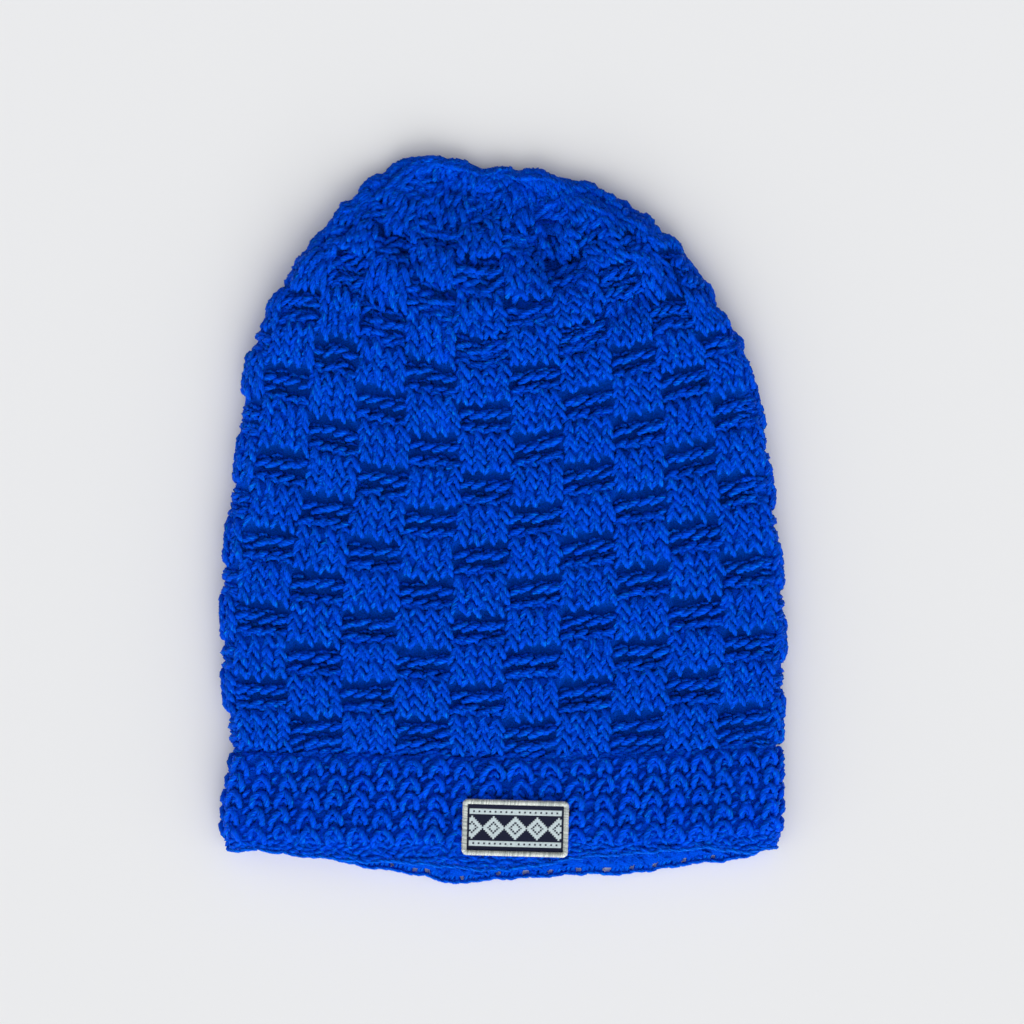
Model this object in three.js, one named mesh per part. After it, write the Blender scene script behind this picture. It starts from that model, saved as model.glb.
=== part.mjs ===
// A crocheted beanie that lies flat on its back, with its front up: a hollow basketweave crown
// with a gathered top, a ribbed band, a chain along the rim, and a bordered patch on the band.
// Millimetres, +Z up. +Y runs from the rim to the top of the crown.
import * as THREE from "three";

// Driving dimensions
const HAT_WIDTH = 239;
const CROWN_LENGTH = 252;
const BAND_HEIGHT = 47;
const FOLD_THICKNESS = 18;
const CROWN_LOFT = 5;
const WALL = 5;
const BLOCK_RELIEF = 1.8;
const RIB_RELIEF = 2;
const GATHER_DEPTH = 2.6;
const RIM_CHAIN_DIAMETER = 3;
const PATCH_WIDTH = 44.6;
const PATCH_HEIGHT = 23.7;
const PATCH_THICKNESS = 1;
const PATCH_CORNER = 3.2;
const BORDER_WIDTH = 2.6;
const BORDER_THICKNESS = 1.9;
const CLEARANCE = 0.3;

// The basketweave: blocks round the crown, blocks from the band to the gathered top, and how far
// the first block's edge lies past the left fold, in blocks. An even count closes the pattern.
const BLOCK_COLUMNS = 22;
const BLOCK_ROWS = 16;
const BLOCK_TURN = 0.6;
// Where a block's flat top starts and ends, in shares of its width and of its height.
const BLOCK_STEPS_ACROSS = [0.1, 0.37, 0.63, 0.9];
const BLOCK_STEPS_UP = [0.14, 0.86];

// The ribs of the band, and the middle of the first crest past the left fold, in ribs.
const RIBS = 47;
const RIB_TURN = 0.75;
// Points across one rib from the middle of its crest, in ribs, and their share of the relief.
const RIB_PROFILE = [
  { across: -0.2, raised: 0.5 },
  { across: 0.2, raised: 0.5 },
  { across: 0.5, raised: -0.5 },
];

// The patch on the front of the band: its middle from the middle of the seam, in shares of the
// hat's width and of the band's height, and its slant.
const PATCH_PLACE = { right: 0.02, down: 0.61, slant: THREE.MathUtils.degToRad(-1.5) };

// Heights are read at seven places across the hat, from the left fold to the right fold.
const HEIGHT_PLACES = ["up0", "up1", "up2", "up3", "up4", "up5", "up6"];

// Sections of the crown, a row for each. row counts blocks up from the band. left and right are
// the folds in shares of the hat's width. up0 to up6 are heights over the band in shares of the
// crown's length. half is the fold's roundness in shares of half its thickness, seat the lift of
// the underside in shares of the fold's thickness, loft the swell of the front in shares of the
// crown's loft, and gather how far the stitches crowd towards the folds.
const CROWN_COLUMNS = ["row", "left", "right", ...HEIGHT_PLACES, "half", "seat", "loft", "gather"];
const CROWN_SECTIONS = [
  [0, -0.475, 0.484, 0.01, 0.008, 0.005, 0, 0.005, 0.013, 0.022, 1, 0, 0.6, 0],
  [2, -0.491, 0.49, 0.131, 0.125, 0.12, 0.118, 0.128, 0.14, 0.151, 1, 0, 0.8, 0],
  [4, -0.494, 0.489, 0.258, 0.244, 0.236, 0.235, 0.246, 0.261, 0.276, 1, 0, 1, 0],
  [6, -0.484, 0.474, 0.386, 0.369, 0.354, 0.352, 0.368, 0.388, 0.411, 1, 0, 1, 0],
  [8, -0.47, 0.456, 0.522, 0.495, 0.473, 0.468, 0.488, 0.513, 0.542, 1, 0, 1, 0],
  [10, -0.447, 0.423, 0.666, 0.627, 0.597, 0.587, 0.608, 0.639, 0.676, 1, 0, 1, 0.08],
  [12, -0.4, 0.368, 0.775, 0.767, 0.721, 0.702, 0.716, 0.757, 0.782, 1, 0, 0.8, 0.2],
  [13, -0.349, 0.311, 0.842, 0.835, 0.782, 0.757, 0.762, 0.822, 0.852, 0.97, 0, 0.65, 0.35],
  [14, -0.305, 0.256, 0.892, 0.875, 0.842, 0.832, 0.822, 0.845, 0.899, 0.93, 0, 0.5, 0.45],
  [15, -0.258, 0.211, 0.94, 0.92, 0.885, 0.885, 0.875, 0.892, 0.927, 0.88, 0, 0.35, 0.52],
  [16, -0.204, 0.168, 0.975, 0.968, 0.955, 0.948, 0.942, 0.938, 0.948, 0.8, 0.02, 0.2, 0.55],
  [16.5, -0.174, 0.142, 0.99, 0.992, 0.982, 0.965, 0.965, 0.958, 0.958, 0.64, 0.12, 0.1, 0.55],
  [16.9, -0.135, 0.112, 0.992, 1, 0.994, 0.976, 0.978, 0.973, 0.962, 0.36, 0.28, 0, 0.5],
];
// The middle of the gathered top, in shares of the hat's width and the crown's length.
const GATHER_MIDDLE = { right: -0.01, up: 0.972 };

// Sections of the band, a row for each. row is the share of the way from the rim to the seam.
const BAND_COLUMNS = ["row", "left", "right"];
const BAND_SECTIONS = [
  [0, -0.484, 0.478],
  [0.12, -0.489, 0.482],
  [0.3, -0.493, 0.485],
  [0.65, -0.485, 0.486],
  [1, -0.475, 0.484],
];
// The rim's depth below the middle of the seam, in shares of the band's height, at the same
// seven places. The back hangs out below the front.
const RIM_FRONT = [0.786, 0.893, 0.942, 1, 0.87, 0.813, 0.768];
const RIM_BACK = [0.786, 0.893, 1.05, 1.098, 1.027, 0.955, 0.768];

// Folds that the gathering draws into the top, a row for each. column counts blocks from the
// left edge of the first block, start and end are rows, wide is in blocks, and deep is a share
// of the gather's depth.
const GATHER_FOLDS = [
  { column: 0.9, start: 13.2, end: 17, wide: 0.3, deep: 0.8 },
  { column: 3.4, start: 14.6, end: 17, wide: 0.35, deep: 1 },
  { column: 5.9, start: 13.1, end: 17, wide: 0.32, deep: 1 },
  { column: 8.7, start: 12, end: 17, wide: 0.3, deep: 1 },
  { column: 9.8, start: 14, end: 17, wide: 0.35, deep: 0.8 },
  { column: 12.2, start: 13, end: 17, wide: 0.35, deep: 0.9 },
  { column: 14.8, start: 12.6, end: 17, wide: 0.35, deep: 1 },
  { column: 17.3, start: 13.4, end: 17, wide: 0.35, deep: 0.9 },
  { column: 19.6, start: 12.8, end: 17, wide: 0.35, deep: 1 },
];

// Rows of the inner face of the crown's wall, up to the bunched fabric under the gathered top.
const INNER_ROWS = [14.3, 13.6, 12.8, 12, 10, 8, 6, 4, 2, 0];
const INNER_STEPS_ACROSS = [0.25, 0.75];
const INNER_TOP_ROW = 14.8;

// The chain follows the crests and the valleys of the ribs.
const CHAIN_STEPS_PER_RIB = 2;
const CHAIN_SIDES = 6;
const OUTLINE_STEP = 1e-3;

// A smooth curve through values that stand at the given places.
function curveThrough(places, values, at) {
  const last = places.length - 1;
  const place = THREE.MathUtils.clamp(at, places[0], places[last]);
  let i = 0;
  while (i < last - 1 && place > places[i + 1]) i += 1;
  const slope = (k) => {
    const before = Math.max(k - 1, 0);
    const after = Math.min(k + 1, last);
    return (values[after] - values[before]) / (places[after] - places[before]);
  };
  const length = places[i + 1] - places[i];
  const t = (place - places[i]) / length;
  const start = values[i] * (1 + 2 * t) * (1 - t) ** 2 + slope(i) * length * t * (1 - t) ** 2;
  const end = values[i + 1] * t ** 2 * (3 - 2 * t) + slope(i + 1) * length * t ** 2 * (t - 1);
  return start + end;
}

// A table of sections that can be read by column name at any row.
class SectionTable {
  constructor(columns, sections) {
    this.rows = sections.map((section) => section[0]);
    this.values = new Map();
    columns.forEach((name, k) => this.values.set(name, sections.map((section) => section[k])));
  }

  read(name, row) {
    return curveThrough(this.rows, this.values.get(name), row);
  }
}

const crownTable = new SectionTable(CROWN_COLUMNS, CROWN_SECTIONS);
const bandTable = new SectionTable(BAND_COLUMNS, BAND_SECTIONS);
const heightShares = HEIGHT_PLACES.map((_, k) => k / (HEIGHT_PLACES.length - 1));

// One closed section of the flattened tube: where its folds are, how round they are, and how
// high the front and the back run.
function crownRing(row, lift) {
  const read = (name) => crownTable.read(name, row);
  const heights = HEIGHT_PLACES.map((name) => read(name) * CROWN_LENGTH);
  return {
    left: read("left") * HAT_WIDTH,
    right: read("right") * HAT_WIDTH,
    half: (read("half") * FOLD_THICKNESS) / 2 - lift,
    seat: Math.max(read("seat"), 0) * FOLD_THICKNESS + lift,
    loft: read("loft") * CROWN_LOFT,
    gather: read("gather"),
    front: heights,
    back: heights,
  };
}

function bandRing(row, lift) {
  const seam = crownRing(0, lift);
  const drop = (rim, k) => THREE.MathUtils.lerp(-rim[k] * BAND_HEIGHT, seam.front[k], row);
  return {
    ...seam,
    left: bandTable.read("left", row) * HAT_WIDTH,
    right: bandTable.read("right", row) * HAT_WIDTH,
    front: HEIGHT_PLACES.map((_, k) => drop(RIM_FRONT, k)),
    back: HEIGHT_PLACES.map((_, k) => drop(RIM_BACK, k)),
  };
}

// How far the front swells over the flat section, at a share of the width from the left fold.
function swell(ring, share) {
  const fromMiddle = 2 * share - 1;
  return ring.loft * Math.max(1 - fromMiddle ** 2, 0) ** 1.5;
}

// A point of a section. turn runs from the left fold over the front to the right fold at 0.5,
// and back under to 1.
function ringPoint(ring, turn) {
  const around = turn - Math.floor(turn);
  const isFront = around < 0.5;
  const share = isFront ? around * 2 : 2 - around * 2;
  const spread = share - (ring.gather * Math.sin(2 * Math.PI * share)) / (2 * Math.PI);
  const width = ring.right - ring.left;
  const flat = width - 2 * ring.half;
  const fold = (Math.PI / 2) * ring.half;
  const arc = spread * (flat + 2 * fold);
  const angle = Math.min(arc, flat + 2 * fold - arc, fold) / ring.half;
  const inset = ring.half * (1 - Math.cos(angle));
  let x = ring.left + ring.half + arc - fold;
  if (arc < fold) x = ring.left + inset;
  if (arc > fold + flat) x = ring.right - inset;
  const across = (x - ring.left) / width;
  const y = curveThrough(heightShares, isFront ? ring.front : ring.back, across);
  const rise = ring.half * Math.sin(angle);
  const middle = ring.seat + ring.half;
  const z = isFront ? middle + rise + swell(ring, across) : middle - rise;
  return new THREE.Vector3(x, y, z);
}

// A surface made of sections: the outer face of a knitted wall, halfway up its relief.
class Shell {
  constructor(ringAt, firstRow, lastRow, lift) {
    this.ringAt = (row) => ringAt(THREE.MathUtils.clamp(row, firstRow, lastRow), lift);
  }

  // The directions of the surface at a point: out of it, and along it towards the next row.
  directions(row, turn) {
    const ring = this.ringAt(row);
    const round = ringPoint(ring, turn + OUTLINE_STEP).sub(ringPoint(ring, turn - OUTLINE_STEP));
    const above = ringPoint(this.ringAt(row + OUTLINE_STEP), turn);
    const below = ringPoint(this.ringAt(row - OUTLINE_STEP), turn);
    const along = above.sub(below).normalize();
    return { out: round.cross(along).normalize(), along };
  }

  // A point that stands out from the surface by height, or in from it where height is negative,
  // and past its row by reach.
  point(row, turn, height, reach = 0) {
    const { out, along } = this.directions(row, turn);
    const point = ringPoint(this.ringAt(row), turn);
    return point.addScaledVector(out, height).addScaledVector(along, reach);
  }
}

const crownShell = new Shell(crownRing, 0, 16.9, BLOCK_RELIEF / 2);
const bandShell = new Shell(bandRing, 0, 1, RIB_RELIEF / 2);

// A closed mesh built from loops of points. Each loop knows the turn of each of its points, so
// that two loops with different counts can be joined.
class LoopMesh {
  constructor() {
    this.positions = [];
    this.triangles = [];
  }

  vertex(point) {
    this.positions.push(point.x, point.y, point.z);
    return this.positions.length / 3 - 1;
  }

  loop(turns, pointAt) {
    return turns.map((turn, k) => ({ turn, index: this.vertex(pointAt(turn, k)) }));
  }

  // Joins loop a to loop b. The faces look outwards where b follows a in the order of the rows.
  join(a, b) {
    const next = (loop, k) => loop[(k + 1) % loop.length];
    const nextTurn = (loop, k) => {
      if (k >= loop.length) return Infinity;
      return next(loop, k).turn + (k + 1 === loop.length ? 1 : 0);
    };
    const at = (loop, k) => loop[k % loop.length].index;
    let i = 0;
    let j = 0;
    while (i < a.length || j < b.length) {
      if (nextTurn(a, i) <= nextTurn(b, j)) {
        this.triangles.push(at(a, i), next(a, i % a.length).index, at(b, j));
        i += 1;
      } else {
        this.triangles.push(at(a, i), next(b, j % b.length).index, at(b, j));
        j += 1;
      }
    }
  }

  joinAll(loops) {
    for (let k = 0; k + 1 < loops.length; k += 1) this.join(loops[k], loops[k + 1]);
  }

  // Closes a loop with a fan: the first loop of a surface from below, the last from above.
  closeFirst(loop, point) {
    const tip = this.vertex(point);
    loop.forEach((p, k) => this.triangles.push(tip, loop[(k + 1) % loop.length].index, p.index));
  }

  closeLast(loop, point) {
    const tip = this.vertex(point);
    loop.forEach((p, k) => this.triangles.push(p.index, loop[(k + 1) % loop.length].index, tip));
  }

  geometry() {
    const geometry = new THREE.BufferGeometry();
    geometry.setAttribute("position", new THREE.Float32BufferAttribute(this.positions, 3));
    geometry.setIndex(this.triangles);
    geometry.computeVertexNormals();
    return geometry;
  }
}

// Turns of the points round the crown, with the column of blocks that each belongs to.
function columnTurns(stepsAcross) {
  const turns = [];
  for (let column = 0; column < BLOCK_COLUMNS; column += 1) {
    for (const step of stepsAcross) turns.push((column + step + BLOCK_TURN) / BLOCK_COLUMNS);
  }
  return turns;
}

// The basketweave relief: blocks stand out and lie back in turn, like the squares of a board.
function blockHeight(column, blockRow) {
  const isRaised = (column + blockRow) % 2 === 0;
  return isRaised ? BLOCK_RELIEF / 2 : -BLOCK_RELIEF / 2;
}

// Depth of the folds that the gathering draws in, at a column and row of the crown.
function gatherDepth(column, row) {
  let depth = 0;
  for (const fold of GATHER_FOLDS) {
    if (row <= fold.start || row > fold.end) continue;
    const away = (column - fold.column) / fold.wide;
    const along = THREE.MathUtils.smoothstep(row, fold.start, fold.start + 1);
    depth += fold.deep * GATHER_DEPTH * along * Math.exp(-(away ** 2));
  }
  return depth;
}

function material(color, roughness) {
  return new THREE.MeshStandardMaterial({ color, roughness, metalness: 0 });
}

// Crown: a bag of basketweave blocks, open at the band and gathered shut at the top.
function makeCrown() {
  const mesh = new LoopMesh();
  const outerTurns = columnTurns(BLOCK_STEPS_ACROSS);
  const innerTurns = columnTurns(INNER_STEPS_ACROSS);
  const seam = new THREE.Vector3(0, CLEARANCE / 2, 0);

  const outerLoop = (row, blockRow) =>
    mesh.loop(outerTurns, (turn, k) => {
      const column = turn * BLOCK_COLUMNS - BLOCK_TURN;
      const relief = blockHeight(Math.floor(k / BLOCK_STEPS_ACROSS.length), blockRow);
      const height = relief - gatherDepth(column, row);
      return crownShell.point(row, turn, height).add(seam);
    });
  const smoothLoop = (row) =>
    mesh.loop(outerTurns, (turn) => {
      const column = turn * BLOCK_COLUMNS - BLOCK_TURN;
      const fold = gatherDepth(column, row) / 2;
      return ringPoint(crownShell.ringAt(row), turn).add(seam).setZ(
        ringPoint(crownShell.ringAt(row), turn).z - (turn < 0.5 ? fold : 0),
      );
    });
  const innerLoop = (row) =>
    mesh.loop(innerTurns, (turn) => crownShell.point(row, turn, -WALL).add(seam));

  const loops = INNER_ROWS.map(innerLoop);
  mesh.closeFirst(loops[0], topOf(INNER_TOP_ROW).add(seam));
  for (let blockRow = 0; blockRow < BLOCK_ROWS; blockRow += 1) {
    const [start, end] = BLOCK_STEPS_UP;
    loops.push(outerLoop(blockRow === 0 ? 0 : blockRow + start, blockRow));
    loops.push(outerLoop(blockRow + end, blockRow));
  }
  loops.push(smoothLoop(16.5), smoothLoop(16.9));
  mesh.joinAll(loops);
  const tip = topOf(16.9);
  tip.setX(GATHER_MIDDLE.right * HAT_WIDTH).setY(GATHER_MIDDLE.up * CROWN_LENGTH);
  mesh.closeLast(loops[loops.length - 1], tip.add(seam));
  return mesh.geometry();
}

// The middle of a section of the crown, halfway between its front and its back.
function topOf(row) {
  const ring = crownShell.ringAt(row);
  const front = ringPoint(ring, 0.25);
  return front.add(ringPoint(ring, 0.75)).multiplyScalar(0.5);
}

// Band: a ring of upright ribs between the crown and the chain along the rim.
function makeBand() {
  const mesh = new LoopMesh();
  const outerTurns = [];
  const innerTurns = [];
  const raised = [];
  for (let rib = 0; rib < RIBS; rib += 1) {
    for (const step of RIB_PROFILE) {
      outerTurns.push((rib + RIB_TURN + step.across) / RIBS);
      raised.push(step.raised * RIB_RELIEF);
    }
    innerTurns.push((rib + RIB_TURN) / RIBS, (rib + RIB_TURN + 0.5) / RIBS);
  }
  const ends = bandEnds();
  const place = (row, turn, height) =>
    bandShell.point(row, turn, height, THREE.MathUtils.lerp(ends.rim, -ends.seam, row));
  const outerRows = BAND_SECTIONS.map((section) => section[0]);
  const innerRows = [1, 0.5, 0];
  const loops = [
    ...outerRows.map((row) => mesh.loop(outerTurns, (turn, k) => place(row, turn, raised[k]))),
    ...innerRows.map((row) => mesh.loop(innerTurns, (turn) => place(row, turn, -WALL))),
  ];
  mesh.joinAll([...loops, loops[0]]);
  return mesh.geometry();
}

// How far the band stays short of the chain at the rim and of the crown at the seam.
function bandEnds() {
  return { rim: RIM_CHAIN_DIAMETER + CLEARANCE, seam: CLEARANCE / 2 };
}

// Rim chain: a cord in the middle of the wall, all the way round the opening.
function makeRimChain() {
  const mesh = new LoopMesh();
  const radius = RIM_CHAIN_DIAMETER / 2;
  const steps = RIBS * CHAIN_STEPS_PER_RIB;
  const first = RIB_TURN / RIBS;
  const turns = Array.from({ length: steps }, (_, k) => first + k / steps);
  const loops = Array.from({ length: CHAIN_SIDES }, (_, side) => {
    const angle = (side / CHAIN_SIDES) * 2 * Math.PI;
    const height = radius * Math.cos(angle) - WALL / 2;
    const reach = radius * (1 + Math.sin(angle));
    return mesh.loop(turns, (turn) => bandShell.point(0, turn, height, reach));
  });
  mesh.joinAll([...loops, loops[0]]);
  return mesh.geometry();
}

// A rectangle with round corners, centred on the origin.
function roundedRectangle(path, width, height, corner) {
  const x = width / 2 - corner;
  const y = height / 2 - corner;
  const quarter = Math.PI / 2;
  path.absarc(x, y, corner, 0, quarter);
  path.absarc(-x, y, corner, quarter, 2 * quarter);
  path.absarc(-x, -y, corner, 2 * quarter, 3 * quarter);
  path.absarc(x, -y, corner, 3 * quarter, 4 * quarter);
  path.closePath();
  return path;
}

// Lays a flat piece on the crests of the ribs, at the patch's place and slant.
function layOnBand(geometry) {
  const ring = bandRing(0.5, RIB_RELIEF / 2);
  const width = ring.right - ring.left;
  const crest = ring.seat + 2 * ring.half + RIB_RELIEF / 2 + CLEARANCE;
  const right = PATCH_PLACE.right * HAT_WIDTH;
  const down = PATCH_PLACE.down * BAND_HEIGHT;
  geometry.rotateZ(PATCH_PLACE.slant).translate(right, -down, crest);
  const position = geometry.getAttribute("position");
  for (let k = 0; k < position.count; k += 1) {
    const share = (position.getX(k) - ring.left) / width;
    position.setZ(k, position.getZ(k) + swell(ring, share));
  }
  geometry.computeVertexNormals();
  return geometry;
}

// Patch: the woven ground, inside the border with a clearance all round.
function makePatch() {
  const inset = 2 * (BORDER_WIDTH + CLEARANCE);
  const corner = PATCH_CORNER - BORDER_WIDTH;
  const outline = roundedRectangle(
    new THREE.Shape(),
    PATCH_WIDTH - inset,
    PATCH_HEIGHT - inset,
    corner,
  );
  const options = { depth: PATCH_THICKNESS, bevelEnabled: false, curveSegments: 3 };
  return layOnBand(new THREE.ExtrudeGeometry(outline, options));
}

// Patch border: a raised overlocked edge all round the patch.
function makePatchBorder() {
  const bevel = BORDER_WIDTH / 4;
  const outline = roundedRectangle(
    new THREE.Shape(),
    PATCH_WIDTH - 2 * bevel,
    PATCH_HEIGHT - 2 * bevel,
    PATCH_CORNER - bevel,
  );
  const inner = roundedRectangle(
    new THREE.Path(),
    PATCH_WIDTH - 2 * BORDER_WIDTH + 2 * bevel,
    PATCH_HEIGHT - 2 * BORDER_WIDTH + 2 * bevel,
    PATCH_CORNER - BORDER_WIDTH + bevel,
  );
  outline.holes.push(inner);
  const geometry = new THREE.ExtrudeGeometry(outline, {
    depth: BORDER_THICKNESS - 2 * bevel,
    bevelThickness: bevel,
    bevelSize: bevel,
    bevelSegments: 2,
    curveSegments: 4,
  });
  return layOnBand(geometry.translate(0, 0, bevel));
}

const yarn = { color: 0x0036b0, roughness: 0.85 };
const pieces = [
  { name: "crown", geometry: makeCrown(), color: yarn.color, roughness: yarn.roughness },
  { name: "band", geometry: makeBand(), color: yarn.color, roughness: yarn.roughness },
  { name: "rim_chain", geometry: makeRimChain(), color: 0x0e4fcf, roughness: 0.8 },
  { name: "patch", geometry: makePatch(), color: 0x1b2138, roughness: 0.7 },
  { name: "patch_border", geometry: makePatchBorder(), color: 0xa9b4ba, roughness: 0.55 },
];

const hat = new THREE.Group();
hat.name = "beanie";
for (const piece of pieces) {
  const mesh = new THREE.Mesh(piece.geometry, material(piece.color, piece.roughness));
  mesh.name = piece.name;
  hat.add(mesh);
}

// The origin is the middle of the bottom of the box round the whole hat.
const box = new THREE.Box3().setFromObject(hat);
const middle = box.getCenter(new THREE.Vector3());
hat.position.set(-middle.x, -middle.y, -box.min.z);

export default hat;
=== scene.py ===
"""A blue crocheted beanie that lies on its back, seen from straight above.

The crown is a basketweave of raised and sunk blocks, gathered shut at the top. The band is ribbed,
its rim is edged with a chain of stitches, and a bordered patch is sewn to its front. All of the
yarn is laid strand by strand over the form of the frame's solids.
"""

import logging
import math
from dataclasses import dataclass, field
from enum import Enum

import bpy
import numpy as np
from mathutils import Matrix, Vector


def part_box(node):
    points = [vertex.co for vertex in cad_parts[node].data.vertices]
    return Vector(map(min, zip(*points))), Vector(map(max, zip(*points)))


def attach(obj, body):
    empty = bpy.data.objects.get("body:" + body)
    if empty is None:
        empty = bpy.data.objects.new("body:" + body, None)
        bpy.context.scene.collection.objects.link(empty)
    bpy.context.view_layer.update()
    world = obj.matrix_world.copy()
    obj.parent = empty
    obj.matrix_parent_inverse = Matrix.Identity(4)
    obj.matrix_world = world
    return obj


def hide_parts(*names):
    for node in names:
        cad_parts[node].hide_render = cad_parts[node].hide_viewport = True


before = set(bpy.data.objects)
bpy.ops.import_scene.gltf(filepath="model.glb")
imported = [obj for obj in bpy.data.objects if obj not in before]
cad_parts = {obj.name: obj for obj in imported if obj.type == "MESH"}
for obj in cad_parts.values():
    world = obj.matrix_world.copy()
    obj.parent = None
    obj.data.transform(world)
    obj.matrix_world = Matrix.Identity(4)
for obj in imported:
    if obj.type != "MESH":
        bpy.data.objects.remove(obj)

logging.basicConfig(level=logging.INFO, format="%(name)s: %(message)s")
log = logging.getLogger("beanie")

Array = np.ndarray
Pair = tuple[float, float]
Triple = tuple[float, float, float]

MM = 0.001
SEED = 20240
STRAND_MAP = "strand"
CLOTH_MAP = "cloth"
BAKE_MAP = "OFBake"
# The value named tone holds a random tone for each strand of yarn, and painted shade on the
# backings, which are darker where they lie deeper.
TONE_AND_SHADE = "tone"
FIGURE = "figure"

# How far the backings stay above the floor, the turns between which a stitch counts as lying
# underneath, the pitch of the ribs near the rim, and the depth of the stitches along the rim.
FLOOR_GAP = 0.05
BACK_TURNS = (0.55, 0.95)
RIB_PITCH = 10.1
RIM_ZONE = 3.4


class Side(Enum):
    """Which face of the flattened hat a piece lies on."""

    FRONT = "front"
    BACK = "back"


class Relief(Enum):
    """How a block of the basketweave lies."""

    RAISED = "raised"
    SUNK = "sunk"


def unit(vectors: Array) -> Array:
    """Returns the vectors at length one."""
    return vectors / np.maximum(np.linalg.norm(vectors, axis=-1, keepdims=True), 1e-12)


def grid_faces(
    rows: int, columns: int, rows_meet: bool = False, columns_meet: bool = True
) -> Array:
    """Lists the faces between the points of a grid.

    Args:
        rows: how many rows of points there are.
        columns: how many points each row has.
        rows_meet: whether the last row joins the first.
        columns_meet: whether the last point of a row joins its first.

    Returns:
        Four point numbers for each face, row by row.
    """
    starts = np.arange(rows - 1 + rows_meet), np.arange(columns - 1 + columns_meet)
    i, j = (numbers.ravel() for numbers in np.meshgrid(*starts, indexing="ij"))
    low, high = i * columns, (i + 1) % rows * columns
    beside = (j + 1) % columns
    return np.stack([low + j, low + beside, high + beside, high + j], axis=-1)


def curve_through(places: Array, values: Array, at: Array) -> Array:
    """Reads smooth curves that pass through values at the given places.

    Args:
        places: rising places, one for each value.
        values: the curves' values, with their last axis along the places.
        at: where to read, in a shape that the values' other axes broadcast to.

    Returns:
        The value of the curve at each place that was asked for.
    """
    last = len(places) - 1
    at = np.clip(at, places[0], places[last])
    index = np.clip(np.searchsorted(places, at, side="right") - 1, 0, last - 1)
    knots = np.arange(last + 1)
    before, after = np.maximum(knots - 1, 0), np.minimum(knots + 1, last)
    slopes = (values[..., after] - values[..., before]) / (places[after] - places[before])

    def pick(table: Array, knot: Array) -> Array:
        """Returns each curve's entry at its own knot."""
        full = np.broadcast_to(table, at.shape + (last + 1,))
        return np.take_along_axis(full, knot[..., None], axis=-1)[..., 0]

    length = places[index + 1] - places[index]
    t = (at - places[index]) / length
    start = pick(values, index) * (1 + 2 * t) * (1 - t) ** 2
    start += pick(slopes, index) * length * t * (1 - t) ** 2
    end = pick(values, index + 1) * t**2 * (3 - 2 * t)
    end += pick(slopes, index + 1) * length * t**2 * (t - 1)
    return start + end


def smoothstep(low: float, high: float, at: Array) -> Array:
    """Returns a smooth step from 0 at low to 1 at high."""
    t = np.clip((at - low) / (high - low), 0, 1)
    return t * t * (3 - 2 * t)


# The seven places across the hat, from the left fold to the right fold, where heights are given.
HEIGHT_PLACES = ("up0", "up1", "up2", "up3", "up4", "up5", "up6")

# Sections of the crown. row counts blocks up from the band. left and right are the folds in
# shares of the hat's width. up0 to up6 are heights over the band in shares of the crown's length.
# half is the fold's roundness in shares of half its thickness, seat the lift of the underside in
# shares of the fold's thickness, loft the swell of the front in shares of the crown's loft, and
# gather how far the stitches crowd towards the folds.
CROWN_COLUMNS = ("row", "left", "right", *HEIGHT_PLACES, "half", "seat", "loft", "gather")
CROWN_SECTIONS = (
    (0, -0.475, 0.484, 0.01, 0.008, 0.005, 0, 0.005, 0.013, 0.022, 1, 0, 0.6, 0),
    (2, -0.491, 0.49, 0.131, 0.125, 0.12, 0.118, 0.128, 0.14, 0.151, 1, 0, 0.8, 0),
    (4, -0.494, 0.489, 0.258, 0.244, 0.236, 0.235, 0.246, 0.261, 0.276, 1, 0, 1, 0),
    (6, -0.484, 0.474, 0.386, 0.369, 0.354, 0.352, 0.368, 0.388, 0.411, 1, 0, 1, 0),
    (8, -0.464, 0.456, 0.522, 0.495, 0.473, 0.468, 0.488, 0.513, 0.542, 1, 0, 1, 0),
    (10, -0.447, 0.423, 0.666, 0.627, 0.597, 0.587, 0.608, 0.639, 0.676, 1, 0, 1, 0.08),
    (12, -0.4, 0.368, 0.775, 0.767, 0.721, 0.702, 0.716, 0.757, 0.782, 1, 0, 0.8, 0.2),
    (13, -0.349, 0.311, 0.842, 0.835, 0.782, 0.757, 0.762, 0.822, 0.852, 0.97, 0, 0.65, 0.35),
    (14, -0.305, 0.256, 0.892, 0.875, 0.842, 0.832, 0.822, 0.845, 0.899, 0.93, 0, 0.5, 0.45),
    (15, -0.258, 0.211, 0.94, 0.92, 0.885, 0.885, 0.875, 0.892, 0.927, 0.88, 0, 0.35, 0.52),
    (16, -0.204, 0.168, 0.975, 0.968, 0.955, 0.948, 0.942, 0.938, 0.948, 0.8, 0.02, 0.2, 0.55),
    (16.5, -0.174, 0.142, 0.99, 0.992, 0.982, 0.965, 0.965, 0.958, 0.958, 0.64, 0.12, 0.1, 0.55),
    (16.9, -0.135, 0.112, 0.992, 1, 0.994, 0.976, 0.978, 0.973, 0.962, 0.36, 0.28, 0, 0.5),
)

# Sections of the band. row is the share of the way from the rim to the seam.
BAND_COLUMNS = ("row", "left", "right")
BAND_SECTIONS = (
    (0, -0.484, 0.478),
    (0.12, -0.489, 0.482),
    (0.3, -0.493, 0.485),
    (0.65, -0.485, 0.486),
    (1, -0.475, 0.484),
)
# The rim's depth below the middle of the seam, in shares of the band's height, at the same seven
# places. The back hangs out below the front.
RIM_FRONT = (0.786, 0.893, 0.942, 1, 0.87, 0.813, 0.768)
RIM_BACK = (0.786, 0.893, 1.05, 1.098, 1.027, 0.955, 0.768)

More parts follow.
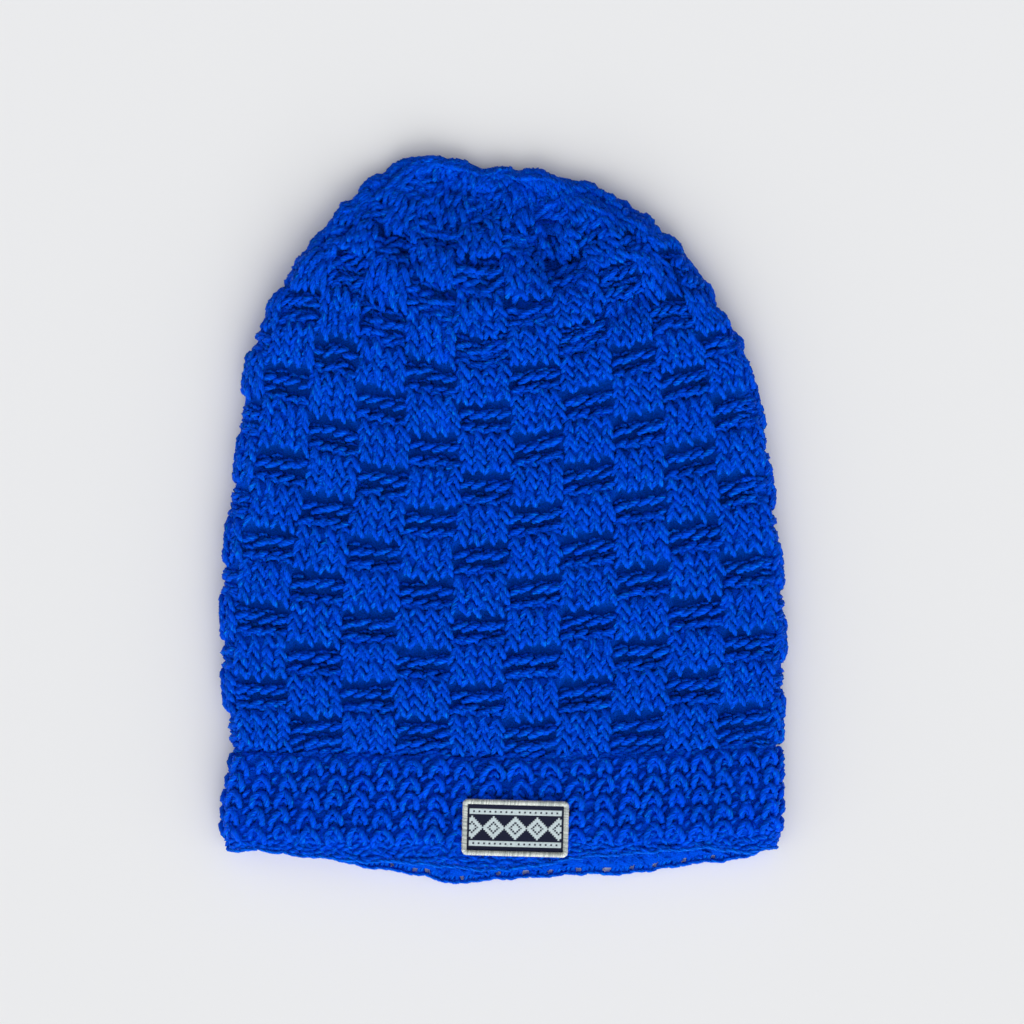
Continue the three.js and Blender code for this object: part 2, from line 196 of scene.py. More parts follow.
# Folds that the gathering draws into the top. column counts blocks from the left edge of the
# first block, start is a row, wide is in blocks, and deep is a share of the gather's depth.
GATHER_FOLDS = (
    (0.9, 13.2, 0.3, 0.8), (3.4, 14.6, 0.35, 1), (5.9, 13.1, 0.32, 1), (8.7, 12, 0.3, 1),
    (9.8, 14, 0.35, 0.8), (12.2, 13, 0.35, 0.9), (14.8, 12.6, 0.35, 1), (17.3, 13.4, 0.35, 0.9),
    (19.6, 12.8, 0.35, 1),
)
# Creases pressed into the top of the front, in millimetres: from one end to the other, how wide
# and how deep each is. A negative depth is a ridge.
CREASES = (
    (14.5, 130.0, 21.0, 122.0, 3.0, 3.4), (21.0, 122.0, 22.5, 107.5, 3.4, 5.0),
    (22.5, 107.0, 31.0, 111.5, 3.0, 4.2), (-14.5, 110.2, 2.2, 109.2, 2.2, 3.4),
    (-13.0, 101.7, -2.0, 101.7, 1.8, 2.0), (-34.0, 95.6, -14.6, 93.6, 2.0, 2.4),
    (1.5, 90.8, 18.5, 90.0, 2.0, 2.2), (-60.0, 87.2, -37.0, 82.4, 2.0, 2.2),
    (-72.5, 111.0, -60.0, 108.8, 2.6, 3.4), (-52.0, 124.5, -37.0, 106.5, 2.8, 4.0),
    (-32.0, 116.4, -19.6, 116.0, 2.0, 2.4), (44.0, 84.0, 62.0, 96.0, 2.4, 3.0),
    (68.0, 120.0, 72.0, 96.0, 4.0, 4.2), (60.0, 122.0, 66.0, 98.0, 6.0, -1.6),
    (-28.0, 146.0, -16.0, 138.0, 5.0, 2.6), (2.0, 146.0, 12.0, 136.0, 4.0, 2.4),
    (-8.0, 128.0, -4.0, 112.0, 6.0, -1.6), (40.0, 128.0, 52.0, 118.0, 7.0, -1.7),
    (-66.0, 104.0, -50.0, 92.0, 5.0, 1.6),
)
# Dips of the outline along the top: where, how wide and how deep each is, in millimetres.
TOP_DIPS = (
    (-9.5, 7.0, 3.6), (-22.0, 6.0, 1.6), (-49.0, 3.0, 1.6), (-62.0, 3.0, 2.2), (-75.0, 4.0, 3.0),
    (7.2, 2.5, 1.0), (29.0, 9.0, 1.8), (53.0, 9.0, 1.8), (74.0, 5.0, 2.4), (-98.0, 8.0, 3.0),
    (64.0, 5.0, 2.8), (93.0, 11.0, 5.2), (84.0, 6.0, 2.2),
)
# Sags of the rim: where, how wide and how deep each is, on the front and on the back.
RIM_SAGS = (
    (-20.0, 9.0, 0.0, 2.6), (52.0, 20.0, 0.8, 2.0), (101.0, 14.0, 3.0, 3.0),
    (118.0, 6.0, 2.2, 2.2), (-113.0, 7.0, 1.8, 1.8), (88.0, 7.0, -0.6, 0.6),
    (-60.0, 8.0, 0.5, 0.8),
)

# How far the ribs lie from even spacing, in ribs: the front's are wider beside the patch.
RIB_COLUMNS = ("rib", "drift")
RIB_DRIFTS = (
    (0, 0), (4, 0.1), (8, 0.17), (10, 0.35), (13, 0.95), (16, 1.03), (20, 0.85), (24, 0.8),
    (44, 0), (47, 0),
)

# Holes between the stitches of the back's rim: where and how wide each is, in millimetres.
RIM_HOLES = (
    (-47.3, 0.7), (-36.8, 2.4), (-31.8, 1.3), (-17.5, 0.6), (-2.0, 1.0), (9.3, 2.0), (20.6, 1.1),
    (31.1, 0.9), (43.3, 2.7), (54.6, 0.9), (64.6, 1.1), (76.8, 0.8), (88.5, 0.9),
)


def lies_under(turn: Array) -> Array:
    """Says which turns of the hat lie underneath."""
    return (turn > BACK_TURNS[0]) & (turn < BACK_TURNS[1])


def soft_lumps(x: Array, y: Array) -> Array:
    """Returns gentle lumps, about 1 high, whose waves are a few stitches long in millimetres.

    Args:
        x: places across, in millimetres.
        y: places lengthwise.

    Returns:
        Heights.
    """
    rolls = np.sin(x / 9.0 + np.sin(y / 17.0)) * np.sin(y / 11.0 + np.cos(x / 14.0))
    small = np.sin(x / 4.7 + 1.3) * np.sin(y / 5.9 + np.sin(x / 8.0))
    return rolls * 0.7 + small * 0.5


def bell(at: Array, middle: float, wide: float) -> Array:
    """Returns a smooth bump of height 1 at the middle."""
    return np.exp(-(((at - middle) / wide) ** 2))


class SectionTable:
    """A table of sections that is read by column name at any row."""

    def __init__(self, columns: tuple[str, ...], sections: tuple[tuple[float, ...], ...]) -> None:
        """Keeps the table with a name for each column.

        Args:
            columns: the columns' names.
            sections: the table, row by row, with the row's place first.
        """
        values = np.array(sections, float)
        self.rows = values[:, 0]
        self.values = dict(zip(columns, values.T))

    def read(self, name: str, rows: Array) -> Array:
        """Returns a column's smooth value at each row."""
        return curve_through(self.rows, self.values[name], rows)


@dataclass
class Rings:
    """Closed sections of the flattened tube, one for each row, in millimetres."""

    left: Array
    right: Array
    half: Array
    seat: Array
    loft: Array
    gather: Array
    front: Array
    back: Array

    def points(self, turns: Array) -> Array:
        """Places points on every ring.

        Args:
            turns: shares of the way round, from the left fold over the front and back under.

        Returns:
            Points, by ring and turn.
        """
        column = (slice(None), None)
        left, right, half = self.left[column], self.right[column], self.half[column]
        is_front = turns[None, :] < 0.5
        share = np.where(is_front, turns[None, :] * 2, 2 - turns[None, :] * 2)
        spread = share - self.gather[column] * np.sin(2 * np.pi * share) / (2 * np.pi)
        flat = right - left - 2 * half
        fold = np.pi / 2 * half
        arc = spread * (flat + 2 * fold)
        angle = np.minimum(np.minimum(arc, flat + 2 * fold - arc), fold) / half
        inset = half * (1 - np.cos(angle))
        x = left + half + arc - fold
        x = np.where(arc < fold, left + inset, x)
        x = np.where(arc > fold + flat, right - inset, x)
        across = (x - left) / (right - left)
        shares = np.linspace(0, 1, len(HEIGHT_PLACES))
        front = curve_through(shares, self.front[:, None, :], across)
        back = curve_through(shares, self.back[:, None, :], across)
        swell = self.loft[column] * np.maximum(1 - (2 * across - 1) ** 2, 0) ** 1.5
        rise = half * np.sin(angle)
        middle = self.seat[column] + half
        z = np.where(is_front, middle + rise + swell, middle - rise)
        return np.stack([x, np.where(is_front, front, back), z], axis=-1)


class Chart:
    """A face of fabric as a grid of points that is read at any row and turn."""

    def __init__(self, points: Array, first_row: float, last_row: float) -> None:
        """Keeps the grid, and works out the directions of its surface.

        Args:
            points: the grid, by row and turn, in millimetres.
            first_row: the row that the grid starts at.
            last_row: the row that it ends at.
        """
        self.first_row = first_row
        self.last_row = last_row
        self.points = points
        around = np.roll(points, -1, axis=1) - np.roll(points, 1, axis=1)
        along = np.gradient(points, axis=0)
        self.along = unit(along)
        self.out = unit(np.cross(around, along))
        self.girth = np.linalg.norm(around, axis=-1, keepdims=True) * points.shape[1] / 2

    def read(self, table: Array, row: Array, turn: Array) -> Array:
        """Reads a table of the grid between its entries.

        Args:
            table: one of the chart's tables, such as its points.
            row: rows to read, which may lie a little outside the grid.
            turn: turns to read, of which only the part after the point counts.

        Returns:
            The table's value at each row and turn.
        """
        steps, sectors = table.shape[:2]
        down = (row - self.first_row) / (self.last_row - self.first_row) * (steps - 1)
        i = np.clip(np.floor(down).astype(int), 0, steps - 2)
        round_ = np.mod(turn, 1.0) * sectors
        j = np.floor(round_).astype(int) % sectors
        a, b = (down - i)[..., None], (round_ - np.floor(round_))[..., None]
        near = table[i, j] * (1 - b) + table[i, (j + 1) % sectors] * b
        far = table[i + 1, j] * (1 - b) + table[i + 1, (j + 1) % sectors] * b
        return near * (1 - a) + far * a

    def place(
        self, row: Array, turn: Array, height: Array, reach: float = 0.0
    ) -> tuple[Array, Array]:
        """Places points over the surface.

        Args:
            row: rows of the points.
            turn: turns of the points.
            height: how far each stands out from the surface, in millimetres.
            reach: how far all are moved along the surface past their row, in millimetres.

        Returns:
            The points, and the direction out of the surface at each.
        """
        out = unit(self.read(self.out, row, turn))
        points = self.read(self.points, row, turn) + out * np.asarray(height)[..., None]
        if np.any(reach):
            along = unit(self.read(self.along, row, turn))
            points = points + along * np.asarray(reach)[..., None]
        return points, out


@dataclass
class HatForm:
    """The form of the hat: the flattened tube that its fabric follows, in millimetres."""

    width: float = 239.0
    crown_length: float = 252.0
    band_height: float = 47.0
    fold_thickness: float = 18.0
    crown_loft: float = 5.0
    wall: float = 5.0
    block_relief: float = 1.8
    rib_relief: float = 2.0
    gather_depth: float = 2.6
    block_columns: int = 22
    block_rows: int = 16
    block_turn: float = 0.6
    ribs: int = 47
    rib_turn: float = 0.82
    drift: Triple = (-0.16, 0.032, 9.5)
    front_spread: float = 0.0045
    top_slump: float = 0.42
    lump: float = 0.7
    least_lump: float = 0.35
    front_heights: Pair = (4.0, 12.0)
    band_lump: float = 0.45
    band_front_heights: Pair = (6.0, 14.0)
    sag_fade: float = 1.3
    rim_ripple: float = 0.35
    scallop: float = 0.9
    scallop_wide: float = 0.25
    scallop_end: Pair = (14.5, 15.8)
    scallops_per_row: float = 1.1
    scallop_centre: float = 40.0
    slump_rows: Pair = (12.8, 16.8)
    pressed_rows: Pair = (8.5, 11.5)
    draw: Triple = (0.9, 0.6, 0.94)
    last_section: float = 16.9
    last_row: float = 18.0
    gather_middle: Pair = (-0.01, 0.972)
    steps_per_row: int = 16
    sectors: int = 1056
    crown: Chart = field(init=False)
    band: Chart = field(init=False)

    def __post_init__(self) -> None:
        """Makes the charts, and moves them to where the frame's solids are."""
        self.crown_table = SectionTable(CROWN_COLUMNS, CROWN_SECTIONS)
        self.band_table = SectionTable(BAND_COLUMNS, BAND_SECTIONS)
        self.rib_table = SectionTable(RIB_COLUMNS, RIB_DRIFTS)
        turns = np.arange(self.sectors) / self.sectors
        rows = np.linspace(0, self.last_row, int(self.last_row * self.steps_per_row) + 1)
        open_rows = np.minimum(rows, self.last_section)
        crown = self.crown_rings(open_rows, self.block_relief / 2).points(turns)
        shares = np.linspace(0, 1, 4 * self.steps_per_row + 1)
        band = self.band_rings(shares, self.rib_relief / 2).points(turns)

        low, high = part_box("crown")
        middle = np.array([(low.x + high.x) / 2, high.y]) / MM
        tip = crown[rows <= self.block_rows + 0.5]
        shift = middle - [(tip[..., 0].min() + tip[..., 0].max()) / 2, crown[..., 1].max()]
        offset = np.array([shift[0], shift[1], 0.0])

        # Past its last section the crown closes to a slit, drawn in towards its middle.
        right, up = self.gather_middle
        ring = crown[-1]
        centre = np.array([right * self.width, up * self.crown_length, ring[:, 2].mean()])
        drawn = np.clip((rows - self.last_section) / (self.last_row - self.last_section), 0, 1)
        crown = crown + (centre - crown) * (drawn[:, None, None] * self.draw)
        crown[..., 2] *= 1 - self.top_slump * smoothstep(*self.slump_rows, rows)[:, None]
        crown += offset
        band += offset
        self.press(crown, smoothstep(*self.pressed_rows, rows)[:, None])
        self.sag(band, shares[:, None], turns[None, :] < 0.5)
        self.crown = Chart(crown, 0, self.last_row)
        self.band = Chart(band, 0, 1)
        self.band_length = np.linalg.norm(band[-1] - band[0], axis=-1)

    def press(self, crown: Array, share: Array) -> None:
        """Presses the creases and the dips into the crown, and gives it scallops and soft lumps.

        Args:
            crown: the crown's points, which are moved.
            share: how far each row is pressed, from 0 to 1.
        """
        x, y, z = (crown[..., k].copy() for k in range(3))
        front = smoothstep(*self.front_heights, z)
        for x0, y0, x1, y1, wide, deep in CREASES:
            run = np.array([x1 - x0, y1 - y0])
            along = ((x - x0) * run[0] + (y - y0) * run[1]) / run.dot(run)
            along = np.clip(along, 0, 1)
            away = np.hypot(x - x0 - along * run[0], y - y0 - along * run[1])
            crown[..., 2] -= deep * np.exp(-((away / wide) ** 2)) * front * share
        for middle, wide, deep in TOP_DIPS:
            crown[..., 1] -= deep * bell(x, middle, wide) * smoothstep(0.2, 1.0, share)
        turns = np.arange(self.sectors) / self.sectors
        row = np.linspace(0, self.last_row, len(crown))[:, None]
        edge = np.exp(-((np.sin(2 * np.pi * turns) / self.scallop_wide) ** 2))
        edge = edge * share * (1 - smoothstep(*self.scallop_end, row))
        wave = np.cos(2 * np.pi * row * self.scallops_per_row + 2 * turns * np.pi)
        bulge = self.scallop * wave * edge
        above = y - self.scallop_centre
        far = np.hypot(x, above)
        crown[..., 0] += bulge * x / far
        crown[..., 1] += bulge * above / far
        crown[..., 2] += self.lump * soft_lumps(x, y) * front * (self.least_lump + share)

    def sag(self, band: Array, share: Array, is_front: Array) -> None:
        """Lets the rim sag.

        Args:
            band: the band's points, which are moved.
            share: each row's share of the way from the rim to the seam.
            is_front: which turns are on the front.
        """
        x = band[..., 0].copy()
        near_rim = (1 - share) ** self.sag_fade
        for middle, wide, front, back in RIM_SAGS:
            band[..., 1] -= np.where(is_front, front, back) * bell(x, middle, wide) * near_rim
        band[..., 1] -= self.rim_ripple * np.sin(x / 2.3 + np.sin(x / 5.0)) * near_rim
        rolls = np.sin(x / 8.0 + 0.6) * np.sin(share * 5.0 + x / 21.0)
        band[..., 2] += self.band_lump * rolls * smoothstep(*self.band_front_heights, band[..., 2])

    def crown_rings(self, rows: Array, lift: float) -> Rings:
        """Returns the rings of the crown at the given rows, lift inside its outer face.

        Args:
            rows: rows of blocks.
            lift: how far inside the outer face they lie, in millimetres.

        Returns:
            The rings, one for each row.
        """
        read = self.crown_table.read
        heights = np.stack([read(name, rows) for name in HEIGHT_PLACES], axis=-1)
        return Rings(
            left=read("left", rows) * self.width,
            right=read("right", rows) * self.width,
            half=read("half", rows) * self.fold_thickness / 2 - lift,
            seat=np.maximum(read("seat", rows), 0) * self.fold_thickness + lift,
            loft=read("loft", rows) * self.crown_loft,
            gather=read("gather", rows),
            front=heights * self.crown_length,
            back=heights * self.crown_length,
        )

    def band_rings(self, rows: Array, lift: float) -> Rings:
        """Returns the rings of the band at shares of the way from the rim to the seam.

        Args:
            rows: shares of the way.
            lift: how far inside the outer face they lie, in millimetres.

        Returns:
            The rings, one for each share.
        """
        seam = self.crown_rings(np.zeros_like(rows), lift)
        share = rows[:, None]
        read = self.band_table.read

        def heights(rim: tuple[float, ...]) -> Array:
            """Returns the heights between a rim and the seam."""
            return -np.array(rim) * self.band_height * (1 - share) + seam.front * share

        seam.left = read("left", rows) * self.width
        seam.right = read("right", rows) * self.width
        front, back = heights(RIM_FRONT), heights(RIM_BACK)
        seam.front, seam.back = front, back
        return seam

    def block_turns(self, column: Array, row: Array | float = 0.0) -> Array:
        """Returns the turns of the crown at columns of blocks.

        Args:
            column: blocks counted from the left edge of the first one.
            row: rows of blocks, over which the columns drift round the hat.

        Returns:
            The turns, with the front's blocks a little wider than the back's.
        """
        turn = (column + self.block_turn) / self.block_columns
        drift = self.drift[0] + self.drift[1] * np.minimum(row, self.drift[2])
        return turn + drift / self.block_columns - self.front_spread * np.cos(2 * np.pi * turn)

    def rib_turns(self, rib: Array) -> Array:
        """Returns the turns of the band at ribs, whole at the middle of a crest."""
        drift = self.rib_table.read("drift", np.mod(rib, self.ribs))
        return (rib + self.rib_turn + drift) / self.ribs

    def ribs_at(self, turn: Array) -> Array:
        """Returns the ribs of the band at turns."""
        ribs = np.linspace(0, self.ribs, 8 * self.ribs + 1)
        return np.interp(turn, self.rib_turns(ribs), ribs)

    def gather(self, column: Array, row: Array) -> Array:
        """Returns how deep the gathered folds lie at columns and rows of the crown.

        Args:
            column: blocks counted from the left edge of the first one.
            row: rows of blocks.

        Returns:
            Depths, in millimetres.
        """
        depth = np.zeros(np.broadcast(column, row).shape)
        for middle, start, wide, deep in GATHER_FOLDS:
            away = (np.mod(column - middle + 11, self.block_columns) - 11) / wide
            depth += deep * smoothstep(start, start + 1, row) * np.exp(-(away**2))
        return depth * self.gather_depth

    def band_row(self, turn: Array, depth: Array) -> Array:
        """Returns the rows of the band at depths below the seam, in millimetres.

        Args:
            turn: turns of the band.
            depth: depths below the seam.

        Returns:
            Rows.
        """
        places = np.arange(self.sectors + 1) / self.sectors
        lengths = np.append(self.band_length, self.band_length[0])
        return 1 - depth / np.interp(np.mod(turn, 1.0), places, lengths)


@dataclass(frozen=True)
class Route:
    """The way of one strand through its stitch.

    Each row of the table is a point: across in stitches from the stitch's middle, up in rows of
    stitches, height over the fabric's middle in millimetres, and thick in shares of the yarn.
    """

    table: tuple[tuple[float, float, float, float], ...]
    points: int = 7
    sides: int = 6

    def smooth(self, points: int) -> Array:
        """Returns the table read at evenly spaced points, by column.

        Args:
            points: how many points to read.

        Returns:
            The four columns' values.
        """
        values = np.array(self.table, float).T
        places = np.arange(values.shape[1], dtype=float)
        at = np.linspace(0, places[-1], points)
        return np.stack([curve_through(places, column, at) for column in values])


# A raised stitch shows as two arms that lean together. The long one crosses over the short one.
LONG_ARM = Route(
    (
        (-0.20, 0.06, -0.9, 0.75),
        (-0.12, -0.02, 0.05, 1.0),
        (0.02, -0.16, 0.42, 1.1),
        (0.16, -0.34, 0.48, 1.16),
        (0.30, -0.54, 0.32, 1.14),
        (0.41, -0.68, -0.15, 1.0),
        (0.47, -0.79, -1.0, 0.7),
    ),
)
SHORT_ARM = Route(
    (
        (0.07, 0.0, -1.0, 0.8),
        (-0.07, -0.08, -0.2, 1.0),
        (-0.20, -0.24, 0.16, 1.08),
        (-0.31, -0.44, 0.06, 1.04),
        (-0.38, -0.58, -0.45, 0.9),
        (-0.41, -0.70, -1.3, 0.6),
    ),
    points=6,
)
# The loop over the top of a raised block, where its last row meets the rope above.
TOP_LOOP = Route(
    (
        (-0.50, -0.14, -1.9, 0.75),
        (-0.25, 0.04, -1.0, 1.0),
        (0.05, 0.12, -0.8, 1.05),
        (0.32, 0.06, -1.0, 1.0),
        (0.55, -0.12, -1.9, 0.75),
    ),
    points=6,
)
# A sunk stitch shows as one turn of a rope that runs round the hat, with a thin arch over it.
ROPE_TURN = Route(
    (
        (-0.68, -0.17, -2.6, 0.7),
        (-0.46, -0.15, -1.2, 1.05),
        (-0.14, -0.05, -0.6, 1.16),
        (0.20, 0.06, -0.6, 1.16),
        (0.50, 0.14, -1.2, 1.05),
        (0.70, 0.16, -2.6, 0.7),
    ),
)
ARCH = Route(
    (
        (-0.52, 0.08, -2.6, 0.6),
        (-0.27, 0.21, -1.8, 0.75),
        (0.04, 0.28, -1.5, 0.8),
        (0.34, 0.25, -1.8, 0.75),
        (0.55, 0.14, -2.6, 0.6),
    ),
    points=5,
    sides=4,
)

# The strand that lies deep between two turns of the rope.
SUNK_FILL = Route(
    (
        (-0.62, -0.04, -3.9, 0.8),
        (-0.25, 0.05, -3.2, 1.0),
        (0.25, -0.05, -3.2, 1.0),
        (0.62, 0.03, -3.9, 0.8),
    ),
    points=5,
    sides=4,
)

# A rib is a stack of pointed arches, each of two legs, with a short strand in its hollow.
RIB_RIGHT = Route(
    (
        (-0.14, -0.06, -1.3, 0.8),
        (-0.05, 0.03, -0.1, 1.05),
        (0.08, -0.07, 0.45, 1.18),
        (0.19, -0.28, 0.6, 1.26),
        (0.27, -0.52, 0.4, 1.24),
        (0.29, -0.76, -0.2, 1.1),
        (0.22, -0.98, -1.4, 0.8),
    ),
    points=8,
)
RIB_LEFT = Route(
    (
        (0.10, -0.05, -1.1, 0.85),
        (-0.03, 0.0, -0.1, 1.05),
        (-0.16, -0.14, 0.3, 1.16),
        (-0.25, -0.36, 0.46, 1.22),
        (-0.29, -0.62, 0.3, 1.2),
        (-0.29, -0.82, -0.3, 1.05),
        (-0.21, -1.02, -1.4, 0.8),
    ),
    points=8,
)
RIB_HEART = Route(
    (
        (-0.15, -0.84, -1.6, 0.8),
        (-0.09, -0.56, -0.85, 0.95),
        (0.02, -0.44, -0.65, 0.95),
        (0.12, -0.58, -0.85, 0.95),
        (0.16, -0.86, -1.6, 0.8),
    ),
    points=6,
)
# The valley beside a rib holds a bright slanted bar at each row, over a sunk strand.
VALLEY_BAR = Route(
    (
        (0.33, -0.26, -2.2, 0.7),
        (0.38, -0.15, -0.9, 0.85),
        (0.48, 0.01, -0.6, 0.88),
        (0.57, 0.15, -1.4, 0.7),
    ),
    points=6,
)
VALLEY_FLOOR = Route(
    (
        (0.26, -0.60, -3.1, 0.8),
        (0.42, -0.50, -2.5, 1.0),
        (0.60, -0.46, -2.5, 1.0),
        (0.76, -0.58, -3.1, 0.8),
    ),
    points=5,
)


@dataclass
class YarnPiece:
    """A mesh of many strands of plied yarn, each a closed tube with twisted grooves."""

    name: str
    ply_length: float = 10.5
    groove: float = 0.12
    floor_gap: float = 0.03
    vertices: list[Array] = field(default_factory=list)
    faces: list[Array] = field(default_factory=list)
    strand_map: list[Array] = field(default_factory=list)
    cells: list[tuple[int, Array]] = field(default_factory=list)
    tones: list[Array] = field(default_factory=list)
    vertex_count: int = 0
    strand_count: int = 0

    def lay(
        self,
        centres: Array,
        out: Array,
        radii: Array,
        tones: Array,
        sides: int,
        rng: np.random.Generator,
    ) -> None:
        """Adds strands that all have the same number of points and sides.

        Args:
            centres: the strands' centre lines, by strand and point, in millimetres.
            out: the direction out of the fabric at each of those points.
            radii: the strand's radius at each of those points.
            tones: how light each strand is, from 0 to 1.
            sides: corners of each tube's section, an even number.
            rng: the source of each strand's first twist.
        """
        strands, points = centres.shape[:2]
        if strands == 0:
            return
        tangents = unit(np.gradient(centres, axis=1))
        up = self.carried(out, tangents)
        side = np.cross(tangents, up)
        steps = np.linalg.norm(np.diff(centres, axis=1), axis=-1)
        length = np.concatenate([np.zeros((strands, 1)), np.cumsum(steps, axis=1)], axis=1)
        corner = np.arange(sides) / sides
        start = rng.uniform(0, 1, (strands, 1, 1))
        angle = 2 * np.pi * (corner + start + length[..., None] / self.ply_length)
        lobes = 1 + self.groove * np.cos(np.pi * np.arange(sides))
        ring = radii[..., None, None] * lobes[:, None]
        cos, sin = np.cos(angle)[..., None], np.sin(angle)[..., None]
        ring = ring * (cos * up[:, :, None] + sin * side[:, :, None])
        vertices = centres[:, :, None] + ring
        vertices[..., 2] = np.maximum(vertices[..., 2], self.floor_gap)
        self.vertices.append(vertices.reshape(-1, 3))
        self.tones.append(np.repeat(tones, points * sides))
        self.add_faces(strands, points, sides, length)

    @staticmethod
    def carried(out: Array, tangents: Array) -> Array:
        """Returns a direction across each strand, carried along it from its middle point.

        Args:
            out: the fabric's outward directions, by strand and point.
            tangents: the strands' directions.

        Returns:
            Directions, by strand and point.
        """
        points = tangents.shape[1]
        middle = points // 2
        up = np.zeros_like(tangents)

        def square(direction: Array, k: int) -> Array:
            """Returns the direction with what lies along the strand taken out."""
            tangent = tangents[:, k]
            return unit(direction - tangent * np.sum(direction * tangent, axis=-1, keepdims=True))

        up[:, middle] = square(out[:, middle], middle)
        for k in range(middle + 1, points):
            up[:, k] = square(up[:, k - 1], k)
        for k in range(middle - 1, -1, -1):
            up[:, k] = square(up[:, k + 1], k)
        return up

    def add_faces(self, strands: int, points: int, sides: int, length: Array) -> None:
        """Adds the faces of tubes whose vertices were just added, with their maps.

        Args:
            strands: how many strands there are.
            points: how many points each has.
            sides: how many sides each has.
            length: the length up to each point, by strand.
        """
        wall = grid_faces(points, sides)
        k, j = np.divmod(wall[:, 0], sides)
        fan = np.array([(0, 2 * q + 3, 2 * q + 2, 2 * q + 1) for q in range(sides // 2 - 1)])
        far = (points - 1) * sides + fan[:, ::-1]
        caps = np.concatenate([fan, far])
        pattern = np.concatenate([wall, caps])
        starts = self.vertex_count + np.arange(strands) * points * sides
        self.faces.append((starts[:, None, None] + pattern).reshape(-1, 4))

        around = np.stack([j, j + 1, j + 1, j], axis=-1) / sides
        point = np.stack([k, k, k + 1, k + 1], axis=-1)
        along = length[:, point]
        wall_map = np.stack([along, np.broadcast_to(around, along.shape)], axis=-1)
        cap_map = np.zeros((strands, len(caps), 4, 2))
        self.strand_map.append(np.concatenate([wall_map, cap_map], axis=1).reshape(-1, 4, 2))

        # The bake's map gives each strand a cell, with its wall on the left and its caps beside.
        tall = np.stack([point / (points - 1) * 0.8 + 0.04, around * 0.9 + 0.05], axis=-1)
        square = np.array([(0, 0), (0, 1), (1, 1), (1, 0)], float) * [0.1, 0.8 / len(caps)]
        corners = [square + [0.87, 0.05 + 0.9 * q / len(caps)] for q in range(len(caps))]
        self.cells.append((strands, np.concatenate([tall, np.array(corners)])))
        self.vertex_count += strands * points * sides
        self.strand_count += strands

    def build(self) -> bpy.types.Object:
        """Makes the mesh object, with its maps and the tone of each strand.

        Returns:
            The object.
        """
        faces = np.concatenate(self.faces)
        piece = mesh_object(self.name, np.concatenate(self.vertices) * MM, faces)
        set_map(piece.data, STRAND_MAP, np.concatenate(self.strand_map))
        set_map(piece.data, BAKE_MAP, self.bake_map())
        set_values(piece.data, TONE_AND_SHADE, np.concatenate(self.tones))
        log.info("%s: %d strands, %d triangles", self.name, self.strand_count, 2 * len(faces))
        return piece

    def bake_map(self) -> Array:
        """Returns the map that gives each strand a cell of its own in a square grid.

        Returns:
            The map's places, four for each face.
        """
        grid = math.ceil(math.sqrt(self.strand_count))
        first = 0
        maps = []
        for strands, pattern in self.cells:
            cell = first + np.arange(strands)
            corner = np.stack([cell % grid, cell // grid], axis=-1)[:, None, None, :]
            maps.append(((corner + pattern) / grid).reshape(-1, 4, 2))
            first += strands
        return np.concatenate(maps)


def mesh_object(name: str, vertices: Array, faces: Array) -> bpy.types.Object:
    """Makes a smooth mesh object of four-sided faces.

    Args:
        name: the object's name.
        vertices: the corners, in metres.
        faces: four corner numbers for each face.

    Returns:
        The object, linked to the scene.
    """
    mesh = bpy.data.meshes.new(name)
    mesh.vertices.add(len(vertices))
    mesh.vertices.foreach_set("co", vertices.astype(np.float32).ravel())
    mesh.loops.add(faces.size)
    mesh.loops.foreach_set("vertex_index", faces.astype(np.int32).ravel())
    mesh.polygons.add(len(faces))
    mesh.polygons.foreach_set("loop_start", np.arange(0, faces.size, 4, dtype=np.int32))
    mesh.update(calc_edges=True)
    mesh.shade_smooth()
    piece = bpy.data.objects.new(name, mesh)
    bpy.context.scene.collection.objects.link(piece)
    return piece


def set_map(mesh: bpy.types.Mesh, name: str, corners: Array) -> None:
    """Gives the mesh a map with the given place for each corner of each face."""
    layer = mesh.uv_layers.new(name=name)
    layer.uv.foreach_set("vector", corners.astype(np.float32).ravel())


def set_values(mesh: bpy.types.Mesh, name: str, values: Array) -> None:
    """Gives the mesh a value for each vertex, which its finish reads by name."""
    attribute = mesh.attributes.new(name, "FLOAT", "POINT")
    attribute.data.foreach_set("value", values.astype(np.float32))


class Signal:
    """An output socket that is used like a number."""

    def __init__(self, graph: "Graph", socket: bpy.types.NodeSocket) -> None:
        """Keeps the socket and the graph that it is in."""
        self.graph = graph
        self.socket = socket

    def __add__(self, other: "Value") -> "Signal":
        """Adds another value."""
        return self.graph.math("ADD", self, other)

    def __sub__(self, other: "Value") -> "Signal":
        """Takes another value away."""
        return self.graph.math("SUBTRACT", self, other)

    def __rsub__(self, other: "Value") -> "Signal":
        """Takes this away from another value."""
        return self.graph.math("SUBTRACT", other, self)

    def __mul__(self, other: "Value") -> "Signal":
        """Multiplies by another value."""
        return self.graph.math("MULTIPLY", self, other)

    def cosine(self) -> "Signal":
        """Returns the cosine of this, in radians."""
        return self.graph.math("COSINE", self)

    def absolute(self) -> "Signal":
        """Returns this without its sign."""
        return self.graph.math("ABSOLUTE", self)

    def clamped(self) -> "Signal":
        """Returns this, held between 0 and 1."""
        return self.graph.node("ShaderNodeClamp", {}, {"Value": self})


Value = Signal | float


